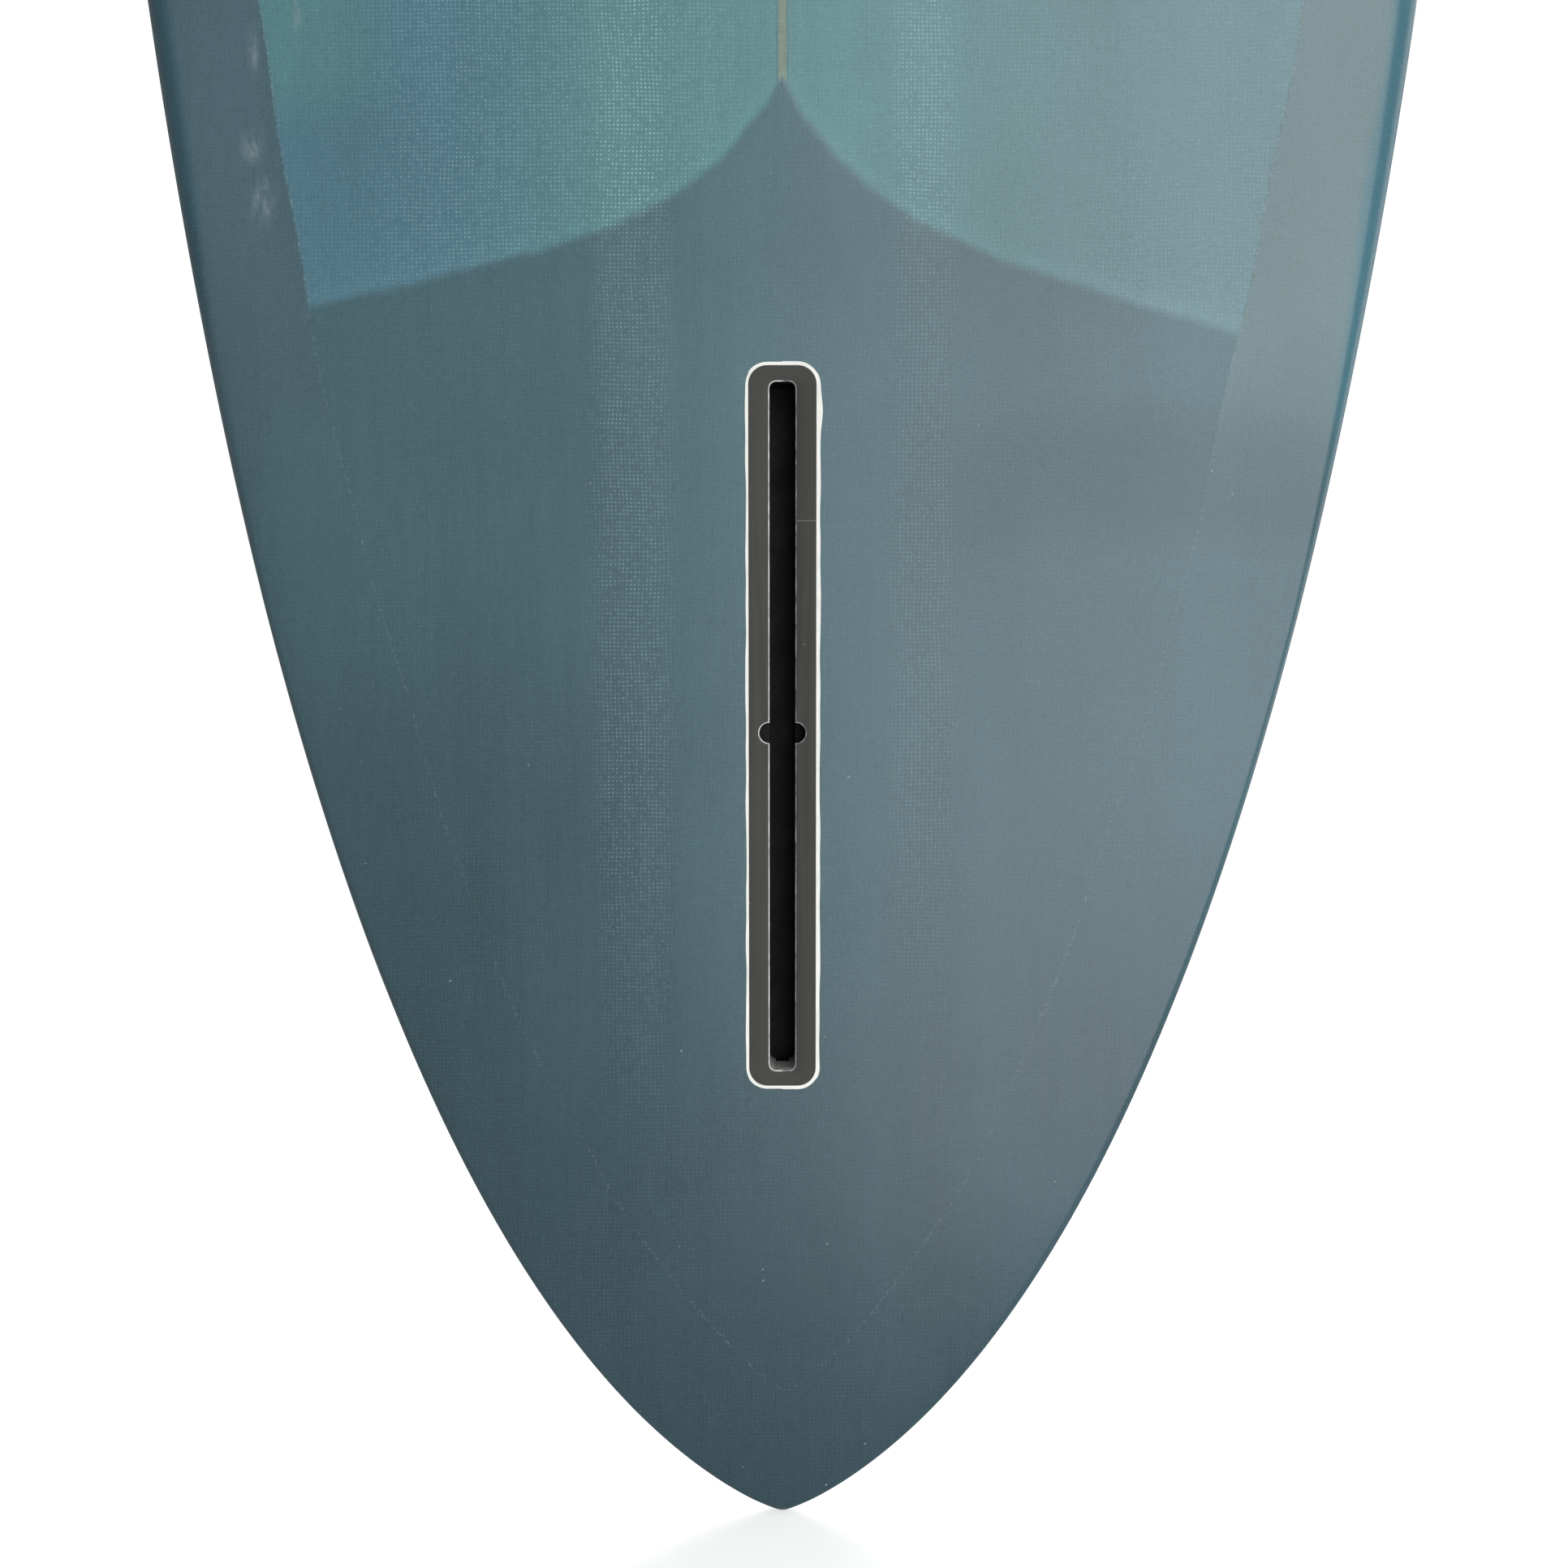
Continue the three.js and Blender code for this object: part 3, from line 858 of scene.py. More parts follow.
        # Painted shade: the two-layer tint darkens towards the tail tip, below z = 0.36 m.
        two = w.mix(w.step(z, 0.36, 0.02), two, self.double_tail_shade)
        tint = w.mix(doubled, self.one_layer(w, place, doubled), two)
        # Painted reflection: a blue band along the rail's edge, darker on the left side as painted shade.
        outwards = w.math("MULTIPLY_ADD", w.step(z, 0.36, 0.54), 11.5 * MM, beyond_lap)
        bluer = w.product(w.step(x, -0.10, 0.10), w.step(z, 1.25, 0.70))
        rail = w.mix(bluer, self.left_rail_shade, self.rail)
        rail_reflection_share = w.product(w.step(outwards, 42.5 * MM, 48 * MM), w.step(z, 0.15, 0.45), 0.85)
        tint = w.mix(rail_reflection_share, tint, rail)

        shade = w.swing(depth, 0.34, 0.965)
        scratch = w.swing(lines, 0.20, 0.0)
        mottle = w.swing(w.noise(place, 900, 3, 0.7), 0.55, 0.0)
        halo = w.product(w.step(behind_edge, -9 * MM, -1 * MM), single, 0.07)
        total = w.math("ADD", w.math("ADD", shade, halo), w.math("ADD", mottle, scratch))
        # Painted light and shade: each patch lightens or darkens the tint by its gain.
        for *sideways, height, inner, outer, gain in self.light_and_shade_patches:
            light_and_shade_patch = w.product(w.near(x, *sideways), w.near(z, height, inner, outer), underside)
            total = w.math("MULTIPLY", total, w.math("MULTIPLY_ADD", light_and_shade_patch, gain, 1.0))
        lit = w.node("ShaderNodeVectorMath", operation="SCALE")
        w.feed(lit.inputs[0], tint)
        w.feed(lit.inputs["Scale"], total)
        tint = lit.outputs[0]

        sanded = 0.0
        for *sideways, strength in self.sanded_sheen_strips:
            sanded = w.math("MAXIMUM", sanded, w.math("MULTIPLY", w.near(x, *sideways), strength))
        sanded = w.product(sanded, underside, w.step(z, 0.85, 0.60), w.step(z, 0.08, 0.34))
        # Painted glints: light dots on the weave's knuckles, in the sanded strips, in a band on the left of
        # the one-layer tint and in scattered patches.
        open_cloth = w.math("MULTIPLY_ADD", single, 0.55, 0.45)
        glint_band = w.product(w.near(x, -0.085, 0.035, 0.10), single, 0.55)
        patchy = w.product(w.noise(place, 14, 2, 0.5), w.math("MULTIPLY_ADD", single, 0.22, 0.14))
        zone = w.math("MAXIMUM", w.product(sanded, open_cloth), patchy)
        zone = w.math("MAXIMUM", zone, w.math("MULTIPLY", glint_band, underside))
        peaks = w.product(w.step(threads, 0.20, 0.80), w.step(w.noise(place, 420, 2, 0.7), 0.34, 0.62))
        glints = w.product(peaks, zone)
        # Painted sheen: the sanded strips lighten a little towards the haze colour.
        tint = w.mix(w.product(sanded, w.step(z, 0.02, 0.45), 0.030), tint, self.haze_and_sheen)
        tint = w.mix(w.product(glints, 0.80), tint, self.glint)
        near_lap = w.step(w.math("ABSOLUTE", beyond_lap), 0.75 * MM, 0.15 * MM)
        bubbles = w.product(near_lap, w.step(w.noise(place, 900, 2, 0.7), 0.52, 0.62))
        tint = w.mix(w.product(bubbles, w.math("MULTIPLY_ADD", patch, -0.12, 0.26)), tint, self.haze_and_sheen)
        tint = w.mix(w.product(specks, 0.35), tint, (0.50, 0.56, 0.58))
        wear = 0.0
        for at_x, at_z, wide, tall in self.scuffs:
            spot = w.product(w.near(x, at_x, 0.0, wide), w.near(z, at_z, 0.0, tall))
            wear = w.math("ADD", wear, spot, clamp=True)
        ragged_wear = w.step(w.noise(w.stretch(place, (330, 200, 110)), 1, 4, 0.7), 0.36, 0.68)
        wear = w.product(wear, ragged_wear, underside)
        tint = w.mix(w.product(wear, 0.42), tint, self.haze_and_sheen)
        bubble_x, bubble_z, bubble_size = self.bubble
        offsets = (w.math("SUBTRACT", x, bubble_x), w.math("SUBTRACT", z, bubble_z))
        away = w.math("SQRT", w.math("ADD", *(w.math("POWER", offset, 2.0) for offset in offsets)))
        bubble = w.product(w.step(away, bubble_size, 0.75 * bubble_size), w.step(away, 0.0, bubble_size))
        tint = w.mix(w.product(bubble, 0.45), tint, self.double)
        w.feed(shader.inputs["Base Color"], tint)

        rough = w.swing(lines, 0.20, self.roughness)
        w.feed(shader.inputs["Roughness"], w.math("MULTIPLY_ADD", wear, 0.15, rough))
        wavy = w.math("MULTIPLY", w.noise(place, 24, 2, 0.45), 6.0)
        relief = w.math("MULTIPLY_ADD", lines, 0.35, wavy)
        relief = w.math("MULTIPLY_ADD", threads, 0.10, relief)
        relief = w.math("MULTIPLY_ADD", doubled, 1.6, relief)
        relief = w.math("MULTIPLY_ADD", specks, -2.5, relief)
        w.feed(shader.inputs["Normal"], w.bump(relief, 0.05 * MM))
        return material


@dataclass(frozen=True)
class SandedPlastic(Finish):
    """Dark plastic sanded flush with the board."""

    roughness: float = 0.58
    shine: float = 0.25
    body: Colour = (0.046, 0.047, 0.043)
    worn: Colour = (0.064, 0.065, 0.060)
    scratch: float = 0.3840

    def make(self) -> bpy.types.Material:
        """Builds the sanded plastic's material."""
        material, w, shader = self.open()
        place = w.place()
        lines = w.group("sanding lines", Vector=place, Slant=0.8).outputs["Lines"]
        specks = w.group("pinholes", Vector=place, Spacing=7 * MM, Share=0.3).outputs["Specks"]
        clouds = w.noise(place, 40, 3, 0.6)
        shader.inputs["Specular IOR Level"].default_value = self.shine
        tone = w.mix(w.swing(lines, 0.7, clouds), self.body, self.worn)
        x, _, z = w.split(place)
        scratch = w.product(w.near(z, self.scratch, 0.05 * MM, 0.3 * MM), w.step(x, 4.8 * MM, 5.2 * MM))
        marks = w.math("MAXIMUM", w.product(specks, 0.5), w.product(scratch, 0.45))
        w.feed(shader.inputs["Base Color"], w.mix(marks, tone, (0.25, 0.25, 0.24)))
        w.feed(shader.inputs["Roughness"], w.swing(lines, 0.25, self.roughness))
        w.feed(shader.inputs["Normal"], w.bump(lines, 0.03 * MM))
        return material


@dataclass(frozen=True)
class WornEdgeAndHighlight(Finish):
    """The pale, chewed edge that sanding leaves round an opening in plastic, with a painted highlight that
    makes it paler on the left side.
    """

    roughness: float = 0.5
    pale: Colour = (0.90, 0.90, 0.86)
    dark: Colour = (0.10, 0.10, 0.10)

    def make(self) -> bpy.types.Material:
        """Builds the material of the worn edge and its painted highlight."""
        material, w, shader = self.open()
        place = w.place()
        x, _, _ = w.split(place)
        chewed = w.noise(w.stretch(place, (500, 500, 260)), 1, 3, 0.6)
        # Painted highlight: the rim on the left side of the opening is paler.
        left = w.step(x, 1 * MM, -1 * MM)
        patchy = w.math("MULTIPLY", w.step(chewed, 0.30, 0.75), 0.5)
        share = w.math("MULTIPLY_ADD", left, 0.50, patchy, clamp=True)
        w.feed(shader.inputs["Base Color"], w.mix(share, self.dark, self.pale))
        w.feed(shader.inputs["Normal"], w.bump(chewed, 0.05 * MM))
        return material


@dataclass(frozen=True)
class MottledFinish(Finish):
    """A tone that clouds into another, for resin, foam, glue and moulded plastic."""

    light: Colour = (0.8, 0.8, 0.8)
    dark: Colour = (0.6, 0.6, 0.6)
    scale: float = 60.0
    relief: float = 0.05 * MM
    shine: float = 0.5

    def make(self) -> bpy.types.Material:
        """Builds the mottled material."""
        material, w, shader = self.open()
        shader.inputs["Specular IOR Level"].default_value = self.shine
        cloud = w.noise(w.place(), self.scale, 4, 0.6)
        w.feed(shader.inputs["Base Color"], w.mix(w.step(cloud, 0.3, 0.7), self.dark, self.light))
        w.feed(shader.inputs["Normal"], w.bump(w.noise(w.place(), self.scale * 12, 2, 0.6), self.relief))
        return material


@dataclass(frozen=True)
class GrainedFinish(Finish):
    """Wood or brushed metal with its grain along the board."""

    light: Colour = (0.5, 0.4, 0.25)
    dark: Colour = (0.3, 0.2, 0.1)
    metallic: float = 0.0

    def make(self) -> bpy.types.Material:
        """Builds the grained material."""
        material, w, shader = self.open()
        grain = w.group("long grain", Vector=w.place()).outputs["Grain"]
        w.feed(shader.inputs["Base Color"], w.mix(w.step(grain, 0.3, 0.7), self.dark, self.light))
        shader.inputs["Metallic"].default_value = self.metallic
        w.feed(shader.inputs["Normal"], w.bump(grain, 0.02 * MM))
        return material


def dress(piece: bpy.types.Object, *materials: bpy.types.Material) -> None:
    """Gives a piece its materials, the first one all over but for faces that ask for another."""
    slots = [face.material_index for face in piece.data.polygons]
    piece.data.materials.clear()
    for material in materials:
        piece.data.materials.append(material)
    last = len(materials) - 1
    piece.data.polygons.foreach_set("material_index", [min(slot, last) for slot in slots])


def hand_over(piece: bpy.types.Object, slot: str, *nodes: str) -> None:
    """Fixes a finished piece to the board in place of its plain solids.

    Args:
        piece: the finished piece.
        slot: the material slot it answers to; not used.
        nodes: the plain solids that it stands for.
    """
    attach(piece, "root")
    if nodes:
        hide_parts(*nodes)
    log.info("%s: %d faces", piece.name, len(piece.data.polygons))


# ---------------------------------------------------------------------------
# Sub-assemblies
# ---------------------------------------------------------------------------


@dataclass
class Skin:
    """The tinted skin: deck with its laps, bottom, and tail patch."""

    form: BoardForm
    wall: float = 1.0 * MM
    tail_rows: int = 230
    nose_rows: int = 110
    columns: int = 72
    ring: tuple[int, int, int] = (10, 10, 30)
    bend_reach: float = 0.17
    hair: float = 1e-7
    heights: np.ndarray = field(init=False)
    meet: float = field(init=False)
    vee: float = field(init=False, default=0.0)
    crown: float = field(init=False, default=math.inf)
    tail_apex: float = field(init=False)
    nose_apex: float = field(init=False)
    laps: dict = field(init=False)

    def __post_init__(self) -> None:
        """Settles the rows that all three sheets share along the lap lines."""
        self.laps = {side: self.form.lap_line(side) for side in Side}
        z = np.linspace(0.4, 0.5, 2000)
        gap = np.mean([self.form.patch_edge(s.value * self.inner(z, s)) for s in Side], axis=0) - z
        self.meet = float(z[np.argmin(np.abs(gap))])
        self.vee = max(float(line[0][line[1] > 0].min()) for line in self.laps.values())
        self.crown = min(float(line[0][line[1] > 0].max()) for line in self.laps.values())
        heights = self.form.rows(self.tail_rows, self.nose_rows)
        for mark in (self.meet, self.vee, self.crown):
            heights[np.argmin(np.abs(heights - mark))] = mark
        self.heights = heights
        self.tail_apex = float(heights[heights < self.vee - self.hair].max())
        self.nose_apex = float(heights[heights > self.crown + self.hair].min())

    def inner(self, z: np.ndarray, side: Side) -> np.ndarray:
        """Distance of the lap line from the centre line at heights z, 0 where both lines have met."""
        heights, widths = self.laps[side]
        return np.interp(z, heights, widths, left=0, right=0) * ~self.met(z)

    def met(self, z: np.ndarray) -> np.ndarray:
        """Whether both lap lines have met at heights z, towards either tip."""
        z = np.asarray(z)
        return (z <= self.vee - self.hair) | (z >= self.crown + self.hair)

    def mask(self, piece: bpy.types.Object) -> None:
        """Stores how far each point lies beyond the lap line and behind the patch edge."""
        points = Bench.points(piece)
        x, y, z = points.T
        outer = self.form.width_at(z)
        levels = np.linspace(0, self.form.length, 4000)
        slope = np.gradient(self.form.width_at(levels), levels[1])
        lean = 1 / np.hypot(1, np.interp(z, levels, slope))
        line = np.where(x < 0, self.inner(z, Side.LEFT), self.inner(z, Side.RIGHT))
        beyond = (np.abs(x) - line) * lean
        deck_side = y > self.form.bottom(z) + 0.5 * self.form.rail_height(z)
        beyond = np.where(deck_side, self.form.lap - (outer - np.abs(x)) * lean, beyond)
        beyond = np.where(self.met(z) & ~deck_side, np.maximum(beyond, 8 * MM), beyond)
        Bench.paint(piece, "beyond_lap", beyond)
        Bench.paint(piece, "underside", np.where(deck_side, 0.0, 1.0))
        edge = self.form.patch_edge(x)
        steep = (self.form.patch_edge(x + 0.5 * MM) - self.form.patch_edge(x - 0.5 * MM)) / MM
        behind = (edge - z) / np.hypot(1, steep)
        Bench.paint(piece, "behind_edge", np.where(deck_side, -0.05, behind))

    def deck_sheet(self) -> bpy.types.Object:
        """The deck's skin, wrapped round both rails and lapped on to the bottom."""
        rows = []
        for z in self.heights:
            w = float(self.form.width_at(z))
            halves = {}
            for side in Side:
                inner = min(float(self.inner(z, side)), max(w - float(self.form.tuck(z, w)), 0))
                half = self.form.half_section(float(z), w, inner, self.ring)
                halves[side] = [(side.value * p[0], p[1], z) for p in half]
            rows.append(halves[Side.LEFT] + halves[Side.RIGHT][::-1][1:])
        sheet = Bench.grid("deck_skin", len(rows[0]) - 1, len(rows) - 1)
        Bench.pull(sheet, np.array(rows))
        return sheet

    def bottom_sheet(self, name: str, low: float, high: float) -> bpy.types.Object:
        """The bottom's skin between the laps, from one shared row to another.

        Args:
            name: the piece's name.
            low: height of its first row at the lap lines.
            high: height of its last row there.

        Returns:
            The sheet, with its rows bent to run along the patch edge.
        """
        levels = self.heights[(self.heights > low - self.hair) & (self.heights < high + self.hair)]
        share = np.linspace(-1, 1, self.columns + 1)
        rows = []
        for level in levels:
            left = float(self.inner(level, Side.LEFT))
            right = float(self.inner(level, Side.RIGHT))
            x = np.where(share < 0, share * left, share * right)
            near = max(0.0, 1 - abs(level - self.meet) / self.bend_reach)
            near = near * near * (3 - 2 * near)
            z = level + near * (self.form.patch_edge(x) - self.meet) * (1 - np.abs(share) ** 24)
            rows.append(np.stack([x, self.form.bottom_at(x, z), z], axis=1))
        sheet = Bench.grid(name, self.columns, len(levels) - 1)
        Bench.pull(sheet, np.array(rows))
        return sheet

    def finish_sheet(self, sheet: bpy.types.Object, *cutters: bpy.types.Object) -> None:
        """Welds a sheet, gives it its wall and cuts the rooms for the fittings.

        Args:
            sheet: the open sheet.
            cutters: solids to cut away, which are used up.
        """
        Bench.weld(sheet, 0.02 * MM, outward=False)

        def middle(p: Vector) -> Vector:
            """The board's middle at a point's height."""
            z = min(max(p.z, 0.05), self.form.length - 0.05)
            return Vector((0, float(self.form.bottom(z)) + 0.5 * float(self.form.thick(z)), z))

        Bench.face_away(sheet, middle)
        Bench.apply(sheet, "SOLIDIFY", thickness=self.wall, offset=-1.0, use_even_offset=True)
        Bench.cut(sheet, *cutters)
        self.mask(sheet)
        Bench.smooth(sheet, 30)

    def build(self, box: "FinBox", plug: "LeashPlug") -> None:
        """Makes and dresses the three sheets.

        Args:
            box: the fin box, which the patch is cut for.
            plug: the leash plug, which the deck is cut for.
        """
        tint = TintedSkin("tinted_skin").make()
        deck = self.deck_sheet()
        patch = self.bottom_sheet("tail_patch_skin", self.tail_apex, self.meet)
        bottom = self.bottom_sheet("bottom_skin", self.meet, self.nose_apex)
        for sheet, cutters, slot, node in (
            (deck, (plug.room(),), "deck_skin", "deck_laminate"),
            (patch, (box.room(),), "patch_skin", "tail_patch"),
            (bottom, (), "bottom_skin", "bottom_laminate"),
        ):
            self.finish_sheet(sheet, *cutters)
            dress(sheet, tint)
            hand_over(sheet, slot, node)


@dataclass
class FinBox:
    """A long fin box bedded in white resin, its slot open and empty."""

    form: BoardForm
    length: float = 271.5 * MM
    width: float = 25.4 * MM
    depth: float = 25.4 * MM
    corner: float = 7 * MM
    middle: float = 305.7 * MM
    slot_length: float = 259.5 * MM
    slot_width: float = 9.7 * MM
    slot_depth: float = 20 * MM
    slot_corner: float = 2.5 * MM
    ramp: float = 17 * MM
    channel: tuple[float, float, float] = (5 * MM, 8.8 * MM, 15.6 * MM)
    notch: tuple[float, float, float] = (17.4 * MM, 7.6 * MM, -0.7 * MM)
    resin: float = 1.3 * MM
    proud: float = 0.04 * MM

    def place(self) -> Place:
        """Where the box sits on the bottom."""
        point = Vector((0, float(self.form.bottom(self.middle)), self.middle))
        return Place(point, math.atan(self.form.box_slope))

    def room(self) -> bpy.types.Object:
        """What the box and its resin take out of the skin."""
        room = Bench.rounded_block(
            "room",
            self.width + self.resin,
            self.length + self.resin,
            -5 * MM,
            5 * MM,
            self.corner + 0.5 * self.resin,
        )
        Bench.put(room, self.place())
        return room

    def box(self) -> bpy.types.Object:
        """The box itself, with its slot, its channel under the face and its cross notch."""
        face = -2 * self.proud
        box = Bench.rounded_block("fin_box_body", self.width, self.length, face, self.depth, self.corner)
        slot = Bench.rounded_block(
            "slot", self.slot_width, self.slot_length, -5 * MM, self.slot_depth, self.slot_corner
        )
        tail_end = -self.slot_length / 2 + MM
        Bench.round_edges(
            slot,
            lambda a, b: min(a.y, b.y) > self.slot_depth - MM
            and max(a.z, b.z) < tail_end
            and abs(a.x - b.x) > 2 * MM,
            self.ramp,
            8,
        )
        top, floor, wide = self.channel
        channel = Bench.rounded_block("channel", wide, self.slot_length - 8 * MM, top, floor, 0.8 * MM)
        notch_width, notch_height, notch_place = self.notch
        notch = Bench.rounded_block(
            "notch", notch_width, notch_height, -5 * MM, floor, notch_height / 2 - 0.05 * MM, notch_place
        )
        Bench.cut(box, slot, channel, notch)
        inside = (self.width / 2 - 2 * MM, self.length / 2 - 2 * MM)
        Bench.round_edges(
            box,
            lambda a, b: max(a.y, b.y) < face + 0.1 * MM
            and max(abs(a.x), abs(b.x)) < inside[0]
            and max(abs(a.z), abs(b.z)) < inside[1],
            0.42 * MM,
            2,
            material=1,
        )
        # Inside the slot: moulded plastic, near-black as painted shade; the up-facing ramp at the tail end
        # gets a lighter plastic as painted light.
        for wall in box.data.polygons:
            x, y, z = wall.center
            within = abs(x) < self.width / 2 - MM and abs(z) < self.length / 2 - MM
            if within and face + 0.5 * MM < y < self.depth - MM:
                painted_lit_ramp = wall.normal.z > 0.3 and z < tail_end + self.ramp and y < 15 * MM
                wall.material_index = 3 if painted_lit_ramp else 2
        Bench.put(box, self.place())
        Bench.smooth(box, 40)
        return box

    def bed(self) -> bpy.types.Object:
        """The white resin round the box, its outer edge as uneven as the routed hole."""
        face = -self.proud
        bed = Bench.rounded_block(
            "fin_box_bed",
            self.width + 2 * self.resin,
            self.length + 2 * self.resin,
            face,
            self.depth + self.resin,
            self.corner + self.resin,
        )
        Bench.divide(bed, lambda a, b: abs(a.z - b.z) > 0.1, 150)
        Bench.divide(bed, lambda a, b: abs(a.x - b.x) > 0.01, 20)
        points = Bench.points(bed)
        x, z = points[:, 0], points[:, 2]
        edge = np.maximum(np.abs(x) - self.width / 2, np.abs(z) - self.length / 2) > 0.2 * self.resin
        side = np.sign(x)
        wander = 0.10 * np.sin(z / (7.3 * MM) + side) + 0.05 * np.sin(z / (2.9 * MM) + 2 * side)
        wander += 0.06 * np.sin((x + z) / (4.1 * MM)) + 0.08 * np.sin(z / (19 * MM) - side)
        wander += np.where(side > 0, 0.18, -0.24)
        wander += np.where(side > 0, 1.0, 0.0) * np.exp(-(((z - 0.1185) / (6.5 * MM)) ** 2))
        outward = np.abs(x) > self.width / 2
        points[:, 0] += np.where(edge & outward, side * wander * MM, 0)
        points[:, 2] += np.where(edge & ~outward, np.sign(z) * 0.5 * wander * MM, 0)
        Bench.pull(bed, points)
        hollow = Bench.rounded_block(
            "hollow",
            self.width - 0.06 * MM,
            self.length - 0.06 * MM,
            -5 * MM,
            self.depth + 0.2 * MM,
            self.corner,
        )
        Bench.cut(bed, hollow)
        Bench.put(bed, self.place())
        Bench.smooth(bed, 40)
        return bed

    def build(self) -> None:
        """Makes and dresses the box and its bed."""
        box = self.box()
        # Moulded black plastic for the slot's inner walls, made near-black as painted shade deep in the slot.
        moulded = MottledFinish(
            "moulded_plastic_slot_shade",
            roughness=0.6,
            light=(0.014, 0.014, 0.013),
            dark=(0.006, 0.006, 0.006),
            scale=90.0,
            shine=0.12,
        )
        # Painted light: a pale grey plastic on the slot's tail-end ramp.
        painted_lit_ramp = MottledFinish(
            "lit_ramp_plastic",
            roughness=0.6,
            light=(0.46, 0.46, 0.44),
            dark=(0.20, 0.20, 0.19),
            scale=500.0,
            shine=0.2,
        )
        finishes = (SandedPlastic("sanded_plastic"), WornEdgeAndHighlight("worn_edge_and_highlight"), moulded, painted_lit_ramp)
        dress(box, *(finish.make() for finish in finishes))
        hand_over(box, "box_plastic", "fin_box")
        bed = self.bed()
        white = MottledFinish(
            "white_resin", roughness=0.4, light=(0.98, 0.97, 0.90), dark=(0.86, 0.87, 0.82), scale=130.0
        )
        dress(bed, white.make())
        hand_over(bed, "white_resin", "fin_box_resin")


@dataclass
class LeashPlug:
    """The leash plug in the deck: a cup with a steel pin across it, bedded in resin."""

    form: BoardForm
    height: float = 105 * MM
    radius: float = 14 * MM
    depth: float = 16 * MM
    bowl: float = 10.5 * MM
    pin_radius: float = 2 * MM
    pin_depth: float = 5 * MM
    resin: float = 1.8 * MM

    def place(self) -> Place:
        """Where the plug sits on the deck."""
        steps = np.array([-5 * MM, 0, 5 * MM]) + self.height
        below, here, above = self.form.bottom(steps) + self.form.thick(steps)
        return Place(Vector((0, here, self.height)), -math.atan((above - below) / (10 * MM)))

    def drum(self, name: str, radius: float, floor: float, top: float) -> bpy.types.Object:
        """A round block square to the deck between two depths."""
        drum = Bench.cylinder(name, radius, top - floor, (math.pi / 2, 0, 0))
        Bench.shift(drum, Vector((0, (floor + top) / 2, 0)))
        return drum

    def room(self) -> bpy.types.Object:
        """What the plug and its resin take out of the deck's skin."""
        room = self.drum("room", self.radius + self.resin - 0.05 * MM, -6 * MM, 6 * MM)
        Bench.put(room, self.place())
        return room

    def build(self) -> None:
        """Makes and dresses the cup, the pin and the resin."""
        cup = self.drum("leash_plug_body", self.radius, -self.depth, 0.12 * MM)
        Bench.clear()
        bpy.ops.mesh.primitive_uv_sphere_add(segments=64, ring_count=32, radius=self.bowl)
        bowl = bpy.context.object
        bowl.scale = (1, 0.95, 1)
        bpy.ops.object.transform_apply(location=True, rotation=True, scale=True)
        Bench.shift(bowl, Vector((0, -3 * MM, 0)))
        Bench.cut(cup, bowl, self.drum("mouth", self.bowl, -3 * MM, 5 * MM))
        Bench.apply(
            cup,
            "BEVEL",
            width=0.4 * MM,
            segments=2,
            limit_method="ANGLE",
            angle_limit=math.radians(50),
        )
        pin = Bench.cylinder("leash_pin", self.pin_radius, 2 * self.radius - 2.4 * MM, (0, math.pi / 2, 0))
        Bench.shift(pin, Vector((0, -self.pin_depth, 0)))
        bed = self.drum("leash_plug_bed", self.radius + self.resin, -self.depth - self.resin, 0.05 * MM)
        Bench.cut(bed, self.drum("hollow", self.radius - 0.05 * MM, -self.depth, 5 * MM))
        steel = GrainedFinish(
            "pin_steel", roughness=0.3, light=(0.62, 0.63, 0.64), dark=(0.45, 0.46, 0.47), metallic=1.0
        )
        plastic = MottledFinish(
            "plug_plastic", roughness=0.45, light=(0.045, 0.05, 0.053), dark=(0.03, 0.034, 0.036)
        )
        white = MottledFinish(
            "plug_resin", roughness=0.4, light=(0.76, 0.77, 0.74), dark=(0.6, 0.62, 0.61), scale=90.0
        )
        for piece, finish, slot, node in (
            (cup, plastic, "plug_plastic", "leash_plug_cup"),
            (pin, steel, "pin_steel", "leash_plug_pin"),
            (bed, white, "white_resin", "leash_plug_resin"),
        ):
            Bench.put(piece, self.place())
            Bench.smooth(piece, 40)
            dress(piece, finish.make())
            hand_over(piece, slot, node)


@dataclass
class Core:
    """The foam, the stringer and its glue lines, which keep their plain solids."""

    nodes: dict

    def build(self) -> None:
        """Dresses the solids inside the skin."""
        foam = MottledFinish(
            "foam", roughness=0.9, light=(0.80, 0.77, 0.66), dark=(0.72, 0.69, 0.58), scale=300.0
        )
        glue = MottledFinish(
            "stringer_glue", roughness=0.5, light=(0.04, 0.05, 0.05), dark=(0.02, 0.03, 0.03)
        )
        wood = GrainedFinish(
            "stringer_wood", roughness=0.6, light=(0.52, 0.40, 0.24), dark=(0.38, 0.28, 0.16)
        )
        for finish, names in (
            (foam, ("foam_left", "foam_right")),
            (glue, ("glue_line_left", "glue_line_right")),
            (wood, ("stringer",)),
        ):
            material = finish.make()
            for name in names:
                dress(self.nodes[name], material)
                log.info("%s dressed", name)


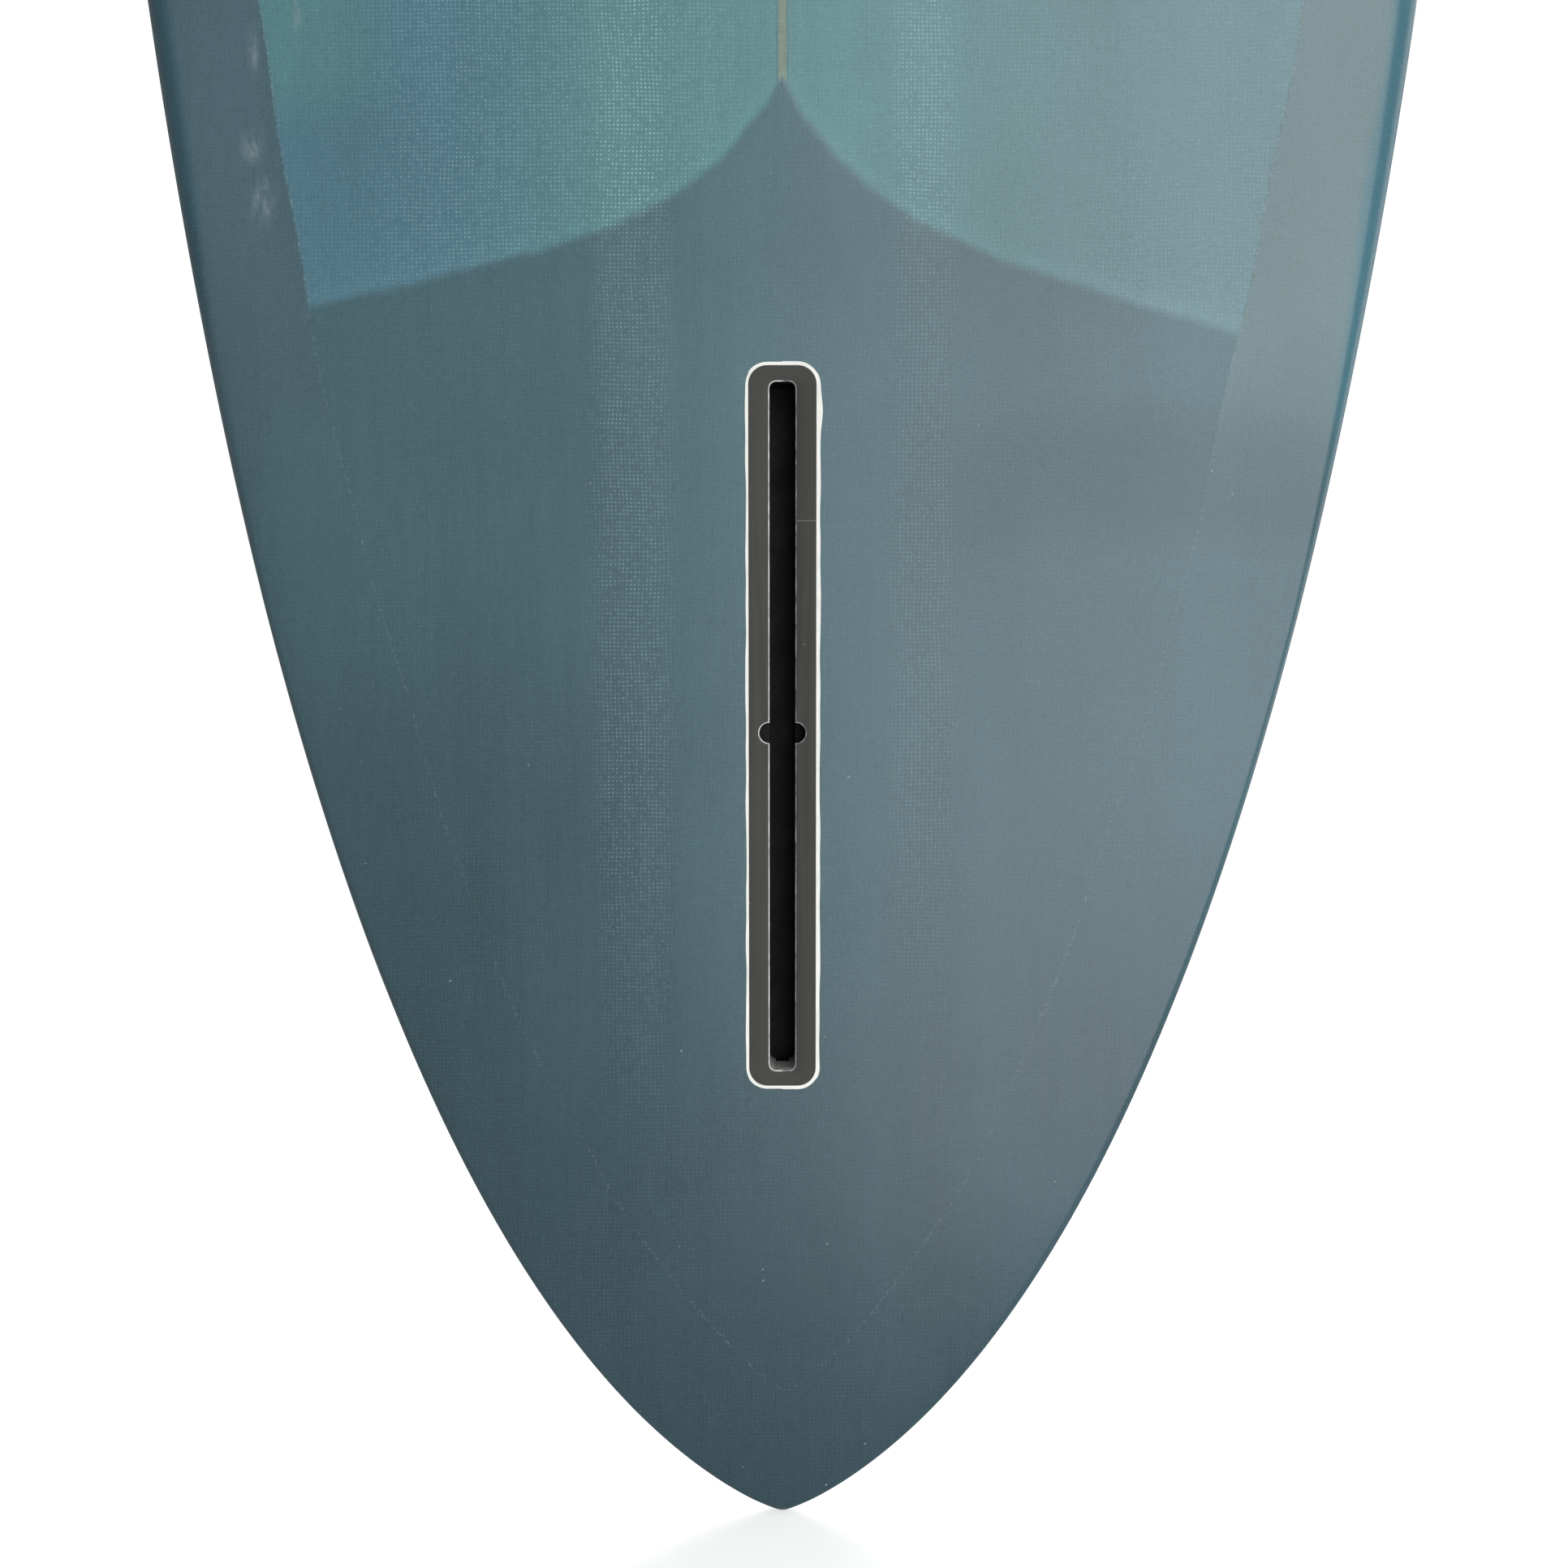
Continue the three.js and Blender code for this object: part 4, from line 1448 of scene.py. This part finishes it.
@dataclass
class Studio:
    """Pale floor, soft lights and the camera."""

    eye: tuple[float, float, float] = (0.6 * MM, -727.6 * MM, 285.8 * MM)
    sensor: float = 36.0
    lens: float = 42.7006
    floor_edge: float = 1.5
    floor_middle: float = 0.9
    sky_light: tuple[float, float, float, float] = (0.95, 0.97, 1, 1)

    def camera(self) -> None:
        """A level camera square to the board's bottom, close to the tail."""
        data = bpy.data.cameras.new("camera")
        data.sensor_width = self.sensor
        data.lens = self.lens
        camera = bpy.data.objects.new("camera", data)
        camera.location = self.eye
        camera.rotation_euler = (math.pi / 2, 0, 0)
        bpy.context.scene.collection.objects.link(camera)
        bpy.context.scene.camera = camera

    def floor(self) -> None:
        """A round pale floor under the tail tip that fades out into the white."""
        Bench.clear()
        bpy.ops.mesh.primitive_circle_add(vertices=96, radius=self.floor_edge, fill_type="NGON")
        floor = bpy.context.object
        floor.name = "floor"
        Bench.shift(floor, Vector((0, self.floor_middle, -0.5 * MM)))
        pale = bpy.data.materials.new("floor")
        pale.use_nodes = True
        w = Wiring(pale.node_tree)
        shader = pale.node_tree.nodes["Principled BSDF"]
        for socket, value in (
            ("Base Color", (0.86, 0.86, 0.86, 1)),
            ("Roughness", 0.9),
            ("Specular IOR Level", 0.1),
            ("Emission Color", (1, 1, 1, 1)),
            ("Emission Strength", 0.52),
        ):
            shader.inputs[socket].default_value = value
        away = w.node("ShaderNodeVectorMath", operation="DISTANCE")
        w.feed(away.inputs[0], w.place())
        away.inputs[1].default_value = (0, self.floor_middle, 0)
        fade = w.step(away.outputs["Value"], 0.97 * self.floor_edge, 0.5 * self.floor_edge)
        w.feed(shader.inputs["Alpha"], fade)
        dress(floor, pale)
        floor.visible_glossy = False

    def lamp(self, name: str, at: Vector, aim: Vector, size: tuple[float, float], glow: float) -> None:
        """A rectangular soft light.

        Args:
            name: its name.
            at: where its middle stands.
            aim: what it points at.
            size: its width and height.
            glow: how bright its face is, where 1 is a white wall.
        """
        data = bpy.data.lights.new(name, "AREA")
        data.shape = "RECTANGLE"
        data.size, data.size_y = size
        data.energy = glow * math.pi * size[0] * size[1]
        lamp = bpy.data.objects.new(name, data)
        lamp.location = at
        lamp.rotation_euler = (aim - at).to_track_quat("-Z", "Y").to_euler()
        bpy.context.scene.collection.objects.link(lamp)
        lamp.visible_camera = False

    def sky(self) -> None:
        """White behind the board, and a softer grey that lights it."""
        world = bpy.data.worlds.new("studio")
        bpy.context.scene.world = world
        world.use_nodes = True
        w = Wiring(world.node_tree)
        world.node_tree.nodes.clear()
        out = w.node("ShaderNodeOutputWorld")
        both = w.node("ShaderNodeMixShader")
        w.feed(both.inputs[0], w.node("ShaderNodeLightPath").outputs["Is Camera Ray"])
        for slot, colour, strength in ((1, self.sky_light, 0.24), (2, (1, 1, 1, 1), 1.05)):
            background = w.node("ShaderNodeBackground")
            background.inputs["Color"].default_value = colour
            background.inputs["Strength"].default_value = strength
            w.feed(both.inputs[slot], background.outputs[0])
        w.feed(out.inputs["Surface"], both.outputs[0])

    def build(self) -> None:
        """Sets up the whole studio."""
        self.camera()
        self.floor()
        self.sky()
        self.lamp("key", Vector((0.79, -1.5, 0.62)), Vector((0.79, 0, 0.62)), (1.5, 2.44), 2.7)
        self.lamp("top", Vector((0, 0.9, 4.0)), Vector((0, 0.9, 0)), (3.0, 3.0), 1.6)
        self.lamp("back", Vector((0.4, 2.2, 2.2)), Vector((0, 0.4, 0)), (3.0, 1.6), 6.0)
        self.lamp("side", Vector((1.7, 0.8, 0.8)), Vector((0.2, 0.0, 0.6)), (1.0, 1.8), 0.8)
        bpy.context.scene.view_settings.view_transform = "Standard"
        log.info("studio ready")


def main() -> None:
    """Builds the board's sub-assemblies in order."""
    logging.basicConfig(level=logging.INFO, format="%(name)s: %(message)s")
    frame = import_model()
    form = BoardForm()
    Studio().build()
    Effects.make_all()
    box = FinBox(form)
    plug = LeashPlug(form)
    Skin(form).build(box, plug)
    box.build()
    plug.build()
    Core(frame["nodes"]).build()
    bpy.context.view_layer.update()


if __name__ == "__main__":
    main()
